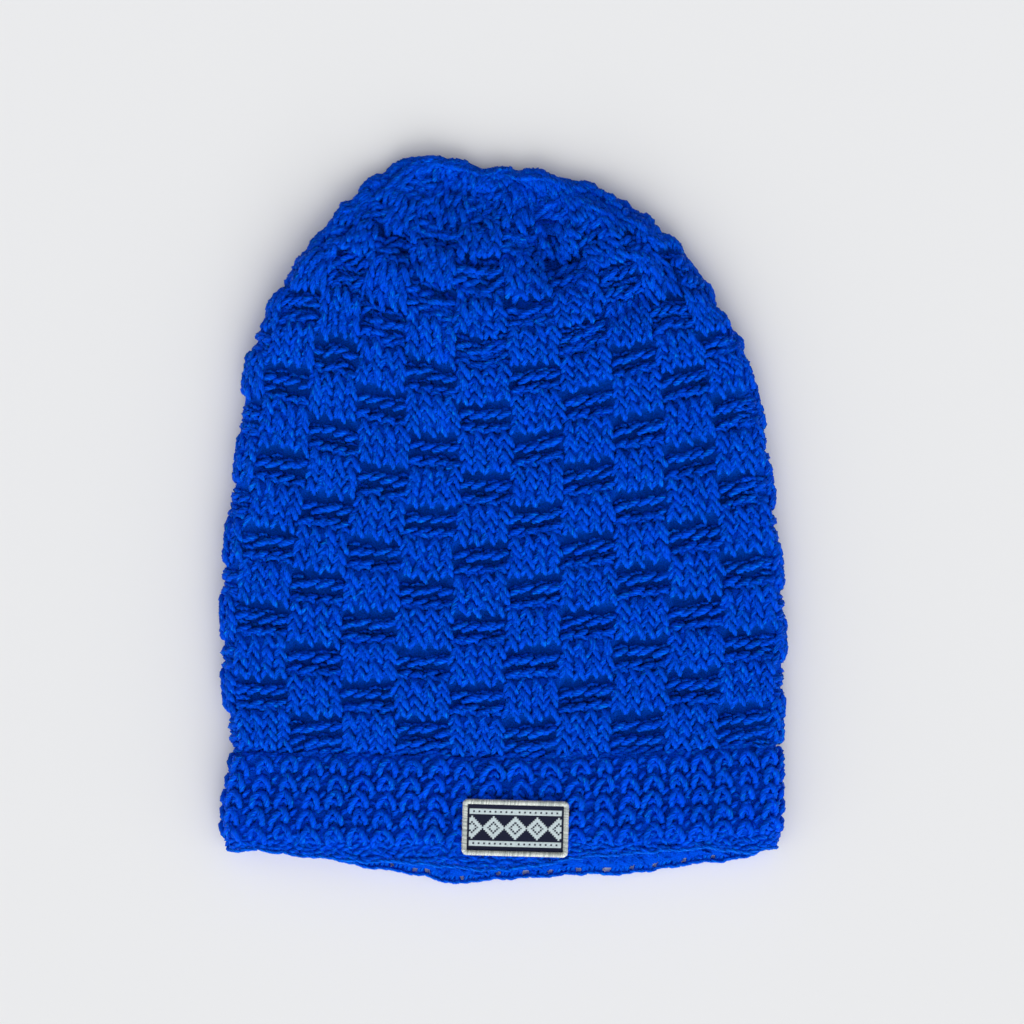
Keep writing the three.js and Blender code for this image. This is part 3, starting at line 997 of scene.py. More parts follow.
class Graph:
    """The nodes of one material or world, and the way to add more."""

    def __init__(self, owner: bpy.types.ID) -> None:
        """Empties the node tree of its owner.

        Args:
            owner: the material or the world.
        """
        self.owner = owner
        owner.use_nodes = True
        self.tree = owner.node_tree
        self.tree.nodes.clear()

    def node(
        self, kind: str, settings: dict | None = None, inputs: dict | None = None, output: int = 0
    ) -> Signal:
        """Adds a node.

        Args:
            kind: the node's type.
            settings: its properties, or the stops of its ramp under the name stops.
            inputs: a value or a signal for each named or numbered input.
            output: the number of the output to hand back.

        Returns:
            That output.
        """
        node = self.tree.nodes.new(kind)
        for name, value in (settings or {}).items():
            if name == "stops":
                self.set_stops(node.color_ramp, value)
            else:
                setattr(node, name, value)
        for name, value in (inputs or {}).items():
            if isinstance(value, Signal):
                self.tree.links.new(value.socket, node.inputs[name])
            else:
                node.inputs[name].default_value = value
        return Signal(self, node.outputs[output]) if node.outputs else None

    @staticmethod
    def set_stops(ramp: bpy.types.ColorRamp, stops: list[tuple[float, tuple]]) -> None:
        """Gives a ramp its stops, each a place and a colour.

        Args:
            ramp: the ramp.
            stops: a place and a colour for each stop.
        """
        while len(ramp.elements) < len(stops):
            ramp.elements.new(1.0)
        for element, (place, colour) in zip(ramp.elements, stops):
            element.position = place
            element.color = (*colour, 1.0)

    def math(self, operation: str, *values: Value) -> Signal:
        """Adds a Math node on the given values."""
        return self.node("ShaderNodeMath", {"operation": operation}, dict(enumerate(values)))

    def mix(self, share: Value, first: "Signal | tuple", second: "Signal | tuple") -> Signal:
        """Adds a colour that goes from first to second with share.

        Args:
            share: how much of the second colour is in it.
            first: the colour at 0.
            second: the colour at 1.

        Returns:
            The colour.
        """
        settings = {"data_type": "RGBA"}
        colours = [c if isinstance(c, Signal) else (*c, 1.0) for c in (first, second)]
        inputs = {0: share, 6: colours[0], 7: colours[1]}
        return self.node("ShaderNodeMix", settings, inputs, output=2)

    def part(self, vector: Signal, axis: int) -> Signal:
        """Returns one of a vector's three parts."""
        return self.node("ShaderNodeSeparateXYZ", {}, {0: vector}, output=axis)

    def map_parts(self, name: str) -> tuple[Signal, Signal]:
        """Returns the two coordinates of a named map."""
        place = self.node("ShaderNodeUVMap", {"uv_map": name})
        return self.part(place, 0), self.part(place, 1)

    def value(self, name: str) -> Signal:
        """Returns a value that the mesh holds by name."""
        return self.node("ShaderNodeAttribute", {"attribute_name": name}, output=2)

    def noise(self, place: Signal | None, scale: float, detail: float = 2.0) -> Signal:
        """Returns soft noise at a place, or over the object where no place is given.

        Args:
            place: where it is read.
            scale: how fine it is.
            detail: how many finer layers it has.

        Returns:
            The noise, from 0 to 1.
        """
        if place is None:
            place = self.node("ShaderNodeTexCoord", output=3)
        inputs = {"Vector": place, "Scale": scale, "Detail": detail}
        return self.node("ShaderNodeTexNoise", {}, inputs)

    def stretched_noise(
        self, places: tuple[Signal, Signal, Signal], stretch: Triple, scale: float, detail: float
    ) -> Signal:
        """Returns soft noise at three coordinates, each stretched by its own factor."""
        stretched = (place * factor for place, factor in zip(places, stretch))
        return self.noise(self.vector(*stretched), scale, detail)

    def vector(self, x: Value, y: Value, z: Value) -> Signal:
        """Returns a vector of three values."""
        return self.node("ShaderNodeCombineXYZ", {}, {0: x, 1: y, 2: z})

    def bump(self, height: Signal, depth: float) -> Signal:
        """Returns the normal of a relief, depth metres from its lowest to its highest."""
        return self.node("ShaderNodeBump", {}, {"Distance": depth, "Height": height})

    def surface(self, settings: dict, links: dict) -> bpy.types.Material:
        """Adds the surface's shader and the material's output.

        Args:
            settings: constants for the shader's own sockets.
            links: signals for the sockets that change over the surface.

        Returns:
            The finished material.
        """
        shader = self.node("ShaderNodeBsdfPrincipled", {}, settings | links)
        self.node("ShaderNodeOutputMaterial", {}, {"Surface": shader})
        return self.owner


@dataclass(frozen=True)
class Finish:
    """A surface's look, which becomes a material of the given name."""

    name: str

    def material(self) -> bpy.types.Material:
        """Makes the material."""
        graph = Graph(bpy.data.materials.new(self.name))
        return graph.surface(*self.look(graph))

    def look(self, graph: Graph) -> tuple[dict, dict]:
        """Returns the shader's constants, and the signals that change over the surface."""
        raise NotImplementedError


@dataclass(frozen=True)
class YarnFinish(Finish):
    """Soft plied yarn: fibres run along each strand, and light and shade are painted into its
    colour: lit crests of the plies, shaded grooves, highlight streaks and slits of shade.
    """

    # Painted light and shade: the first two colours paint shaded ply grooves and lit ply crests,
    # the third paints highlight streaks, and the fourth paints dark slits of shade.
    shaded_groove_colour: Triple = (0.0, 0.06, 0.8)
    lit_crest_colour: Triple = (0.0, 0.08, 0.74)
    highlight_colour: Triple = (0.0, 0.36, 0.88)
    slit_shade_colour: Triple = (0.0, 0.03, 0.36)
    plies: int = 5
    tone_reach: float = 0.5
    roughness: float = 0.62
    gloss: float = 0.16
    gloss_tint: Triple = (0.0, 0.6, 1.0)
    sheen: float = 0.3
    sheen_tint: Triple = (0.0, 0.24, 1.0)
    ply_depth: float = 0.2
    fibre_depth: float = 0.34
    fibre_stretch: Triple = (0.36, 6.5, 40.0)
    wisp_stretch: Triple = (0.24, 4.0, 90.0)
    sharpness: float = 8.0
    # Where the painted highlight streaks and the painted slits of shade begin, and how strongly
    # they show.
    highlight_from: float = 0.57
    highlight_share: float = 0.55
    slit_shade_below: float = 0.43
    slit_shade_share: float = 0.6

    def look(self, graph: Graph) -> tuple[dict, dict]:
        """Returns the shader's constants and signals.

        Args:
            graph: the graph that the nodes go to.

        Returns:
            The constants by input's name, and the signals by input's name.
        """
        along, around = graph.map_parts(STRAND_MAP)
        tone = graph.value(TONE_AND_SHADE)
        ply = (around * (self.plies * math.pi)).cosine().absolute()
        places = (along, around, tone)
        fibres = graph.stretched_noise(places, self.fibre_stretch, 1.6, 3.0)
        wisps = graph.stretched_noise(places, self.wisp_stretch, 2.0, 2.0)
        # The mix from groove to crest is partly painted light and shade, lighter on the crests of
        # the plies, and partly random fibres and strand tone.
        lit = (ply * 0.45 + fibres * 1.3 + (tone - 0.5) * self.tone_reach - 0.4).clamped()
        colour = graph.mix(lit, self.shaded_groove_colour, self.lit_crest_colour)
        # Painted highlight: pale streaks where the wisps are high and the yarn is lit.
        highlight_streak = ((wisps - self.highlight_from) * self.sharpness).clamped() * lit
        colour = graph.mix(highlight_streak * self.highlight_share, colour, self.highlight_colour)
        # Painted shade: dark slits where the wisps are low.
        slit = ((self.slit_shade_below - wisps) * self.sharpness).clamped()
        colour = graph.mix(slit * self.slit_shade_share, colour, self.slit_shade_colour)
        relief = ply * self.ply_depth + fibres * self.fibre_depth + wisps * (self.fibre_depth * 0.5)
        constants = {
            "Specular IOR Level": self.gloss,
            "Specular Tint": (*self.gloss_tint, 1.0),
            "Sheen Weight": self.sheen,
            "Sheen Roughness": 0.45,
            "Sheen Tint": (*self.sheen_tint, 1.0),
        }
        links = {
            "Base Color": colour,
            "Roughness": self.roughness - fibres * 0.12,
            "Normal": graph.bump(relief, MM),
        }
        return constants, links


@dataclass(frozen=True)
class BackingFinish(Finish):
    """The heart of the fabric, seen between its strands and inside the hat, painted darker than the
    yarn as the shade in those depths.
    """

    # Painted shade: the first two are mottled colours far darker than the yarn, and the third is
    # the lighter colour where the backing lies close under the strands.
    dark: Triple = (0.0, 0.044, 0.3)
    light: Triple = (0.0, 0.088, 0.72)
    near: Triple = (0.0, 0.075, 0.84)

    def look(self, graph: Graph) -> tuple[dict, dict]:
        """Returns the shader's constants and signals.

        Args:
            graph: the graph that the nodes go to.

        Returns:
            The constants by input's name, and the signals by input's name.
        """
        broad = graph.noise(None, 260.0, 3.0)
        fine = graph.noise(None, 1500.0, 2.0)
        share = (broad * 0.9 + fine * 1.8 - 0.85).clamped()
        colour = graph.mix(share, self.dark, self.light)
        # Painted shade: the backing turns lighter where its floor lies nearer the surface, and
        # stays dark in the deep recesses.
        colour = graph.mix(graph.value(TONE_AND_SHADE) * (share * 0.75 + 0.25), colour, self.near)
        constants = {"Specular IOR Level": 0.05, "Specular Tint": (0.0, 0.6, 1.0, 1.0)}
        links = {
            "Base Color": colour,
            "Roughness": 0.95 - fine * 0.1,
            "Normal": graph.bump(broad + fine * 0.5, 1.6 * MM),
        }
        return constants, links


@dataclass(frozen=True)
class ClothFinish(Finish):
    """Fine woven cloth: a silver figure on a navy ground, thread by thread."""

    ground: Triple = (0.004, 0.006, 0.022)
    ground_light: Triple = (0.012, 0.016, 0.06)
    figure: Triple = (0.78, 0.9, 0.92)
    shade: Triple = (0.4, 0.49, 0.52)
    thread: float = 0.42
    weft_density: float = 1.35

    def look(self, graph: Graph) -> tuple[dict, dict]:
        """Returns the shader's constants and signals.

        Args:
            graph: the graph that the nodes go to.

        Returns:
            The constants by input's name, and the signals by input's name.
        """
        right, up = graph.map_parts(CLOTH_MAP)
        picked = graph.value(FIGURE)
        turn = 2 * math.pi / self.thread
        warp = (right * turn).cosine() * 0.5 + 0.5
        weft = (up * (turn * self.weft_density)).cosine() * 0.5 + 0.5
        weave = warp * 0.45 + weft * 0.55
        wear = graph.noise(graph.vector(right, up, 0.0), 0.9, 4.0)
        silver = graph.mix((weave * 0.8 + wear * 0.8 - 0.25).clamped(), self.shade, self.figure)
        navy = graph.mix((weave * wear).clamped(), self.ground, self.ground_light)
        colour = graph.mix(picked, navy, silver)
        constants = {"Specular IOR Level": 0.2, "Sheen Weight": 0.03, "Sheen Roughness": 0.4}
        links = {
            "Base Color": colour,
            "Roughness": 0.72 - picked * 0.2,
            "Normal": graph.bump(weave + wear * 0.4, 0.12 * MM),
        }
        return constants, links


@dataclass(frozen=True)
class ThreadFinish(Finish):
    """Satin thread, wound side by side."""

    dark: Triple = (0.42, 0.48, 0.46)
    light: Triple = (0.95, 0.98, 0.92)
    fibre_stretch: Triple = (0.8, 7.0, 60.0)

    def look(self, graph: Graph) -> tuple[dict, dict]:
        """Returns the shader's constants and signals.

        Args:
            graph: the graph that the nodes go to.

        Returns:
            The constants by input's name, and the signals by input's name.
        """
        along, around = graph.map_parts(STRAND_MAP)
        tone = graph.value(TONE_AND_SHADE)
        fibres = graph.stretched_noise((along, around, tone), self.fibre_stretch, 1.4, 2.0)
        colour = graph.mix((fibres * 0.8 + tone * 0.7 - 0.25).clamped(), self.dark, self.light)
        constants = {"Specular IOR Level": 0.5, "Sheen Weight": 0.15, "Sheen Roughness": 0.3}
        links = {
            "Base Color": colour,
            "Roughness": 0.55 - fibres * 0.15,
            "Normal": graph.bump(fibres, 0.06 * MM),
        }
        return constants, links


@dataclass(frozen=True)
class FloorFinish(Finish):
    """A plain pale studio floor."""

    colour: Triple = (0.83, 0.83, 0.83)
    grain_colour: Triple = (0.78, 0.78, 0.78)

    def look(self, graph: Graph) -> tuple[dict, dict]:
        """Returns the shader's constants and signals.

        Args:
            graph: the graph that the nodes go to.

        Returns:
            The constants by input's name, and the signals by input's name.
        """
        grain = graph.noise(None, 30.0, 3.0)
        links = {"Base Color": graph.mix(grain * 0.02, self.colour, self.grain_colour)}
        return {"Specular IOR Level": 0.1, "Roughness": 0.9}, links


@dataclass
class Stitcher:
    """Lays the same strand in many stitches of a chart."""

    rng: np.random.Generator
    yarn_radius: float = 1.2
    sway: float = 0.12
    lift_sway: float = 0.36

    def jitter(self, count: int, reach: float) -> Array:
        """Returns a small random value for each stitch, as a column."""
        return self.rng.uniform(-reach, reach, (count, 1))

    def stray(
        self, path: Array, count: int, shares: Triple, loose: Array | float = 1.0
    ) -> tuple[Array, Array, Array]:
        """Lets the strand of each stitch stray a little from its route.

        Args:
            path: the route's points across, up and in height.
            count: how many stitches there are.
            shares: how far it is scaled, leans and moves across, in shares of the sway.
            loose: how much looser than usual each stitch is.

        Returns:
            The places across, up and in height, by stitch and point.
        """
        across, up, height = path
        scale = 1 + self.jitter(count, shares[0] * self.sway)
        lean = self.jitter(count, shares[1] * self.sway) * loose
        across = across * scale + lean * up + self.jitter(count, shares[2] * self.sway) * loose
        up = up * scale + self.jitter(count, self.sway) * loose
        return across, up, height + self.jitter(count, self.lift_sway) * loose


@dataclass
class Crown:
    """The bag of basketweave blocks, gathered shut at the top."""

    form: HatForm
    stitcher: Stitcher
    stitches_per_block: int = 4
    rows_per_block: int = 2
    closing_rows: int = 4
    apexes: Pair = (1.40, 0.91)
    loop_height: float = 1.52
    rope_heights: Pair = (0.69, 0.45)
    raised_floor: float = -0.7
    sunk_floor: float = -4.2
    fold_floor: float = -0.9
    fold_drop: float = -2.1
    top_fill_drop: float = -1.0
    fill_rows: int = 22
    seam_rows: tuple[Pair, ...] = ((0.2, 2.0), (-0.12, 1.7), (-0.42, 1.9))
    arch_drops: Pair = (1.5, 0.2)
    top_lift: float = 0.18
    top_rows: int = 29
    top_drop: float = 2.2
    floor_shift: float = 0.2
    top_sway: float = 1.4
    top_swell: float = 0.16
    coarse_sides: int = 4
    coarse_points: int = 4
    fine_turn: float = 5.65
    crowd_limits: Pair = (0.86, 1.06)
    stray_shares: Triple = (1.5, 2.0, 1.0)
    uneven: float = 0.12
    loose_rows: Pair = (22.0, 31.0)
    swell_rows: Pair = (22.0, 28.0)
    lift_rows: Pair = (20.0, 26.0)
    fold_wide: float = 0.16
    fold_filled: float = 0.25
    fold_fills: tuple[float, ...] = (0.04, 0.38, 0.72)
    top_fills: tuple[float, ...] = (0.1, 0.38, 0.66, 0.94)
    block_edge: float = 9.0
    top_floor_rows: Pair = (10.5, 12.0)
    top_floor: float = 0.15
    backing_steps: int = 8
    outer_rows: int = 161
    inner_rows: int = 40
    inner_end: float = 14.8
    # Painted shade: the backing is painted darkest where its floor lies this deep, and half shaded
    # on its inner face.
    painted_shade_floor: float = -3.2
    inside_tone: float = 0.5
    least_wall: float = 0.6

    def stitches(self, relief: Relief, side: Side) -> tuple[Array, Array]:
        """Lists stitches.

        Args:
            relief: the kind of block that they are in.
            side: the face of the hat that they lie on.

        Returns:
            The number of each stitch round the hat, and of its row.
        """
        count = self.form.block_columns * self.stitches_per_block
        rows = self.form.block_rows * self.rows_per_block
        if relief is Relief.RAISED:
            rows += self.closing_rows
        stitch, row = np.meshgrid(np.arange(count), np.arange(rows))
        stitch, row = stitch.ravel(), row.ravel()
        block = stitch // self.stitches_per_block + row // self.rows_per_block
        closing = row >= self.form.block_rows * self.rows_per_block
        is_raised = (block % 2 == 0) | closing
        turn = np.mod(self.form.block_turns((stitch + 0.5) / self.stitches_per_block), 1.0)
        is_back = lies_under(turn)
        keep = (is_raised == (relief is Relief.RAISED)) & (is_back == (side is Side.BACK))
        return stitch[keep], row[keep]

    def lay(
        self,
        piece: YarnPiece,
        route: Route,
        stitch: Array,
        row: Array,
        level: Array | float,
        side: Side,
        drop: float = 0.0,
    ) -> None:
        """Lays one strand in each of the given stitches.

        Args:
            piece: the piece that the strands go to.
            route: the way of the strand.
            stitch: the stitches' numbers round the hat.
            row: the numbers of their rows.
            level: where in its row the route's own zero lies, for each stitch or for all.
            side: the face of the hat, which sets how fine the strands are.
            drop: how much deeper than its route the strand lies, in millimetres.
        """
        if len(stitch) == 0:
            return
        coarse = side is Side.BACK
        points = self.coarse_points if coarse else route.points
        sides = self.coarse_sides if coarse else route.sides
        *path, thick = route.smooth(points)
        form, rng = self.form, self.stitcher
        count = len(stitch)
        high = row[:, None].astype(float)
        loose = 1 + self.top_sway * smoothstep(*self.loose_rows, high)
        across, up, height = rng.stray(path, count, self.stray_shares, loose)
        column = (stitch[:, None] + 0.5 + across) / self.stitches_per_block
        level = np.broadcast_to(level, row.shape)[:, None]
        at_row = (row[:, None] + level + up) / self.rows_per_block
        turn = form.block_turns(column, at_row)
        height = height - drop - form.gather(column, at_row)
        centres, out = form.crown.place(at_row, turn, height)
        girth = form.crown.read(form.crown.girth, at_row, turn)[..., 0]
        width = girth / (form.block_columns * self.stitches_per_block)
        crowd = np.clip(np.sqrt(np.maximum(width, 0) / self.fine_turn), *self.crowd_limits)
        swell = 1 + self.top_swell * smoothstep(*self.swell_rows, high)
        radii = rng.yarn_radius * thick * crowd * swell * (1 + rng.jitter(count, self.uneven))
        tones = rng.rng.uniform(0, 1, count)
        piece.lay(centres, out, radii, tones, sides, rng.rng)

    def raised_piece(self, side: Side, low: int, high: int, name: str) -> YarnPiece:
        """Returns the raised blocks of the rows from low up to high.

        Args:
            side: the face of the hat.
            low: the first row.
            high: the row after the last.
            name: the piece's name.

        Returns:
            The piece, with its strands.
        """
        piece = YarnPiece(name)
        stitch, row = self.stitches(Relief.RAISED, side)
        keep = (row >= low) & (row < high)
        stitch, row = stitch[keep], row[keep]
        self.lay_arms(piece, stitch, row, side)
        tops = (row % self.rows_per_block == 1) & (row < self.form.block_rows * self.rows_per_block)
        self.lay(piece, TOP_LOOP, stitch[tops], row[tops], self.loop_height, side)
        return piece

    def lay_arms(
        self, piece: YarnPiece, stitch: Array, row: Array, side: Side, drop: float = 0.0
    ) -> None:
        """Lays the two arms of raised stitches, twice in each row.

        Args:
            piece: the piece that the strands go to.
            stitch: the stitches' numbers round the hat.
            row: the numbers of their rows.
            side: the face of the hat.
            drop: how much deeper than usual they lie, in millimetres.
        """
        for apex in self.apexes:
            for route in (SHORT_ARM, LONG_ARM):
                self.lay(piece, route, stitch, row, apex, side, drop)

    def sunk_piece(self, side: Side, name: str) -> YarnPiece:
        """Returns the sunk blocks' ropes, arches and fills, and the rows along the seam.

        Args:
            side: the face of the hat.
            name: the piece's name.

        Returns:
            The piece, with its strands.
        """
        piece = YarnPiece(name)
        stitch, row = self.stitches(Relief.SUNK, side)
        level = np.take(self.rope_heights, row % self.rows_per_block)
        level = level + self.top_lift * smoothstep(*self.lift_rows, row.astype(float))
        self.lay(piece, ROPE_TURN, stitch, row, level, side)
        for parity, drop in enumerate(self.arch_drops):
            chosen = row % self.rows_per_block == parity
            self.lay(piece, ARCH, stitch[chosen], row[chosen], level[chosen], side, drop)
        self.add_seam(piece, side)
        column = (stitch + 0.5) / self.stitches_per_block
        turn = self.form.block_turns(column, row / self.rows_per_block)
        in_fold = self.fold_share(turn) > self.fold_filled
        in_top = row >= self.fill_rows
        fills = [(up, in_fold, self.fold_drop) for up in self.fold_fills]
        fills += [(up, in_top & ~in_fold, self.top_fill_drop) for up in self.top_fills]
        for up, filled, drop in fills:
            self.lay(piece, SUNK_FILL, stitch[filled], row[filled], up, side, drop)
        near_top = row >= self.top_rows
        self.lay_arms(piece, stitch[near_top], row[near_top], side, self.top_drop)
        return piece

    def add_seam(self, piece: YarnPiece, side: Side) -> None:
        """Adds the sunk rows along the seam, under raised and sunk blocks alike.

        Args:
            piece: the piece that the strands go to.
            side: the face of the hat.
        """
        for relief in Relief:
            stitch, row = self.stitches(relief, side)
            first = row == 0
            for up, drop in self.seam_rows:
                self.lay(piece, ROPE_TURN, stitch[first], row[first], up, side, drop)

    def floor_height(self, column: Array, row: Array) -> Array:
        """Returns how high the backing lies under the stitches.

        Args:
            column: blocks counted from the left edge of the first one.
            row: rows of blocks.

        Returns:
            Heights over the fabric's middle, in millimetres.
        """
        weave = np.sin(np.pi * column) * np.sin(np.pi * (row - self.floor_shift))
        edge = 0.5 + 0.5 * np.tanh(self.block_edge * weave)
        whole = np.where(row < self.floor_shift, 0.0, edge)
        whole = np.where(row > self.form.block_rows, 1.0, whole)
        fold = self.fold_share(self.form.block_turns(column, row))
        near_top = self.top_floor * smoothstep(*self.top_floor_rows, row)
        low = self.sunk_floor + (self.fold_floor - self.sunk_floor) * np.maximum(fold, near_top)
        return low + (self.raised_floor - low) * whole - self.form.gather(column, row)

    def fold_share(self, turn: Array) -> Array:
        """Returns how near the turns are to a side fold, from 0 to 1."""
        return np.exp(-((np.sin(2 * np.pi * turn) / self.fold_wide) ** 2))

    def backing(self) -> bpy.types.Object:
        """Makes the closed wall that the stitches stand on, open at the band.

        Returns:
            The object, closed.
        """
        form = self.form
        columns = np.arange(form.block_columns * self.backing_steps) / self.backing_steps
        outer_rows = np.linspace(0, form.last_row, self.outer_rows)
        inner_rows = np.linspace(0, self.inner_end, self.inner_rows)
        rows, column = np.meshgrid(outer_rows, columns, indexing="ij")
        turn = form.block_turns(column, rows)
        floor = self.floor_height(column, rows)
        outer, _ = form.crown.place(rows, turn, floor)
        rows, column = np.meshgrid(inner_rows, columns, indexing="ij")
        turn = form.block_turns(column, rows)
        under = np.minimum(-form.wall, self.floor_height(column, rows) - self.least_wall)
        inner, _ = form.crown.place(rows, turn, under)
        backing = closed_wall("crown_backing", outer, inner)
        # Painted shade: the backing is painted darker the deeper its floor lies, and half shaded
        # inside.
        lit = smoothstep(self.painted_shade_floor, self.raised_floor, floor).ravel()
        inside = np.full(rows.size, self.inside_tone)
        set_values(backing.data, TONE_AND_SHADE, np.concatenate([inside, lit, inside[:2]]))
        return backing


def closed_wall(name: str, outer: Array, inner: Array) -> bpy.types.Object:
    """Makes a bag of two grids of points, joined at their first rows and shut at their last.

    Args:
        name: the object's name.
        outer: points of the outer face, by row and turn, in millimetres.
        inner: points of the inner face, by row and turn.

    Returns:
        The object, closed.
    """
    sectors = outer.shape[1]
    loops = np.concatenate([inner[::-1], outer])
    loops[..., 2] = np.maximum(loops[..., 2], FLOOR_GAP)
    first = loops[0].reshape(sectors, 3)
    last = loops[-1].reshape(sectors, 3)
    vertices = np.concatenate([loops.reshape(-1, 3), [first.mean(0)], [last.mean(0)]])
    pairs = np.arange(0, sectors, 2)
    centre = np.full(len(pairs), len(vertices) - 2)
    top = (len(loops) - 1) * sectors
    second, third = pairs + 1, (pairs + 2) % sectors
    close_first = np.stack([centre, third, second, pairs], axis=-1)
    close_last = np.stack([centre + 1, top + pairs, top + second, top + third], axis=-1)
    faces = np.concatenate([grid_faces(len(loops), sectors), close_first, close_last])
    return mesh_object(name, vertices * MM, faces)


def ring_wall(name: str, loops: Array) -> bpy.types.Object:
    """Makes a ring whose section is a closed loop of points.

    Args:
        name: the object's name.
        loops: points by place in the section and turn, in millimetres.

    Returns:
        The object, closed.
    """
    points = loops.reshape(-1, 3).copy()
    points[:, 2] = np.maximum(points[:, 2], FLOOR_GAP)
    return mesh_object(name, points * MM, grid_faces(*loops.shape[:2], rows_meet=True))


@dataclass
class Band:
    """The ring of upright ribs, with flat rows next to the rim."""

    form: HatForm
    stitcher: Stitcher
    rim: "Rim"
    row_pitch: float = 7.15
    first_row: float = 2.2
    rib_rows: int = 5
    edge_start: float = 33.5
    crest_floor: float = -1.4
    valley_floor: float = -2.6
    edge_floor: float = -0.8
    edge_near: float = 2.4
    inner_near: float = 3.6
    inner_reach: float = 15.0
    hidden_reach: float = 7.0
    stray_shares: Triple = (1.0, 1.0, 0.6)
    uneven: float = 0.06
    coarse_sides: int = 4
    backing_steps: int = 8
    backing_rows: int = 14
    edge_shares: Pair = (0.16, 0.34)
    # Painted shade: the band's backing is painted darkest where it lies this deep, and half shaded
    # on its inner face.
    painted_shade_floor: float = -3.0
    inside_tone: float = 0.5
    tuft_across: float = 0.34
    tuft_pitch: float = 1.75
    tuft_length: float = 5.2
    tuft_lengths: Pair = (0.7, 1.25)
    tuft_stray: float = 0.3
    tuft_leans: Pair = (0.55, -0.6)
    tuft_right_share: float = 0.72
    tuft_lean_sway: float = 0.45
    tuft_lean_limit: float = 1.3
    tuft_flat_to: float = 1.6
    tuft_flat_over: float = 4.0
    tuft_bow: float = 0.7
    tuft_heights: Pair = (-0.7, 0.1)
    tuft_arch: float = 5.5
    tuft_sink: float = 0.2
    tuft_uneven: float = 0.12

    def lay(
        self,
        piece: YarnPiece,
        route: Route,
        rib: Array,
        depth: Array,
        coarse: bool,
    ) -> None:
        """Lays one strand at each of the given places.

        Args:
            piece: the piece that the strands go to.
            route: the way of the strand.
            rib: the middle of each stitch, in ribs.
            depth: how far the stitch's top lies below the seam, in millimetres.
            coarse: whether fewer points and sides will do.
        """
        if len(rib) == 0:
            return
        points = max(4, (route.points + 2) // 2) if coarse else route.points
        *path, thick = route.smooth(points)
        form, rng = self.form, self.stitcher
        count = len(rib)
        across, up, height = rng.stray(path, count, self.stray_shares)
        turn = form.rib_turns(rib[:, None] + across)
        row = form.band_row(turn, depth[:, None] - up * self.row_pitch)
        centres, out = form.band.place(row, turn, height)
        radii = rng.yarn_radius * thick * (1 + rng.jitter(count, self.uneven))
        tones = rng.rng.uniform(0, 1, count)
        piece.lay(centres, out, radii, tones, self.coarse_sides if coarse else route.sides, rng.rng)

    def length_at(self, rib: Array) -> Array:
        """Returns how long the band is from the seam to the rim at each rib, in millimetres."""
        turn = self.form.rib_turns(rib)
        return 1 / (1 - self.form.band_row(turn, np.ones_like(turn)))

    def is_back(self, rib: Array) -> Array:
        """Says which ribs lie underneath."""
        return lies_under(np.mod(self.form.rib_turns(rib), 1.0))

    def ribs_piece(self, name: str) -> YarnPiece:
        """Returns the loops of the ribs, and the bars and sunk strands in their valleys.

        Args:
            name: the piece's name.

        Returns:
            The piece, with its strands.
        """
        piece = YarnPiece(name)
        rib, row = np.meshgrid(np.arange(self.form.ribs, dtype=float), np.arange(self.rib_rows))
        rib, row = rib.ravel(), row.ravel()
        depth = self.first_row + row * self.row_pitch
        back = self.is_back(rib)
        for coarse in (False, True):
            chosen = back == coarse
            for route in (VALLEY_FLOOR, RIB_HEART, VALLEY_BAR, RIB_LEFT, RIB_RIGHT):
                self.lay(piece, route, rib[chosen], depth[chosen], coarse)
        return piece

    def tufts(self, piece: YarnPiece, near: float, far: Array, level: float, flip: float) -> None:
        """Scatters short strands that lie every way, as the worn stitches next to the rim do.

        Args:
            piece: the piece that the strands go to.
            near: how far from the rim the first of them lie, in millimetres.
            far: how far from the rim the last of them lie, at each of the tufts' places.
            level: the height of the face that they lie on.
            flip: 1 on the outer face and -1 on the inner one.
        """
        rng = self.stitcher
        places = self.tuft_places()
        rows = int(np.max(far) / self.tuft_pitch) + 1
        rib, row = np.meshgrid(places, np.arange(rows), indexing="ij")
        far = np.broadcast_to(far[:, None], rib.shape).ravel()
        rib, row = rib.ravel(), row.ravel()
        count = len(rib)
        stray = self.tuft_stray
        rib = rib + self.tuft_across * (0.5 * (row % 2) + rng.rng.uniform(-stray, stray, count))
        away = near + (row + rng.rng.uniform(-stray, stray, count)) * self.tuft_pitch
        fits = (away < far) & ~self.rim.is_open(rib, away)
        rib, away, count = rib[fits], away[fits], int(fits.sum())
        tilt = np.where(rng.rng.random(count) < self.tuft_right_share, *self.tuft_leans)
        tilt = tilt + rng.rng.normal(0, self.tuft_lean_sway, count)
        tilt = np.clip(tilt, -self.tuft_lean_limit, self.tuft_lean_limit)
        tilt = tilt * np.clip((away - self.tuft_flat_to) / self.tuft_flat_over, 0.1, 1)
        long = self.tuft_length * rng.rng.uniform(*self.tuft_lengths, count)
        points, sides = (6, 6) if flip > 0 else (5, self.coarse_sides)
        share = np.linspace(-0.5, 0.5, points)
        bow = rng.jitter(count, self.tuft_bow) * (0.25 - share**2) * 4
        run = share * long[:, None]
        across = run * np.cos(tilt)[:, None] - bow * np.sin(tilt)[:, None]
        up = run * np.sin(tilt)[:, None] + bow * np.cos(tilt)[:, None]
        turn = self.form.rib_turns(rib[:, None] + across / RIB_PITCH)
        depth = self.length_at(rib)[:, None] - away[:, None] - up
        high = rng.rng.uniform(*self.tuft_heights, (count, 1)) - self.tuft_arch * share**2
        high = (high - self.tuft_sink) * flip + level
        centres, out = self.form.band.place(self.form.band_row(turn, depth), turn, high)
        radii = rng.yarn_radius * (0.95 - 1.2 * share**2)
        radii = radii * (1 + rng.jitter(count, self.tuft_uneven))
        piece.lay(centres, out * flip, radii, rng.rng.uniform(0.2, 1, count), sides, rng.rng)

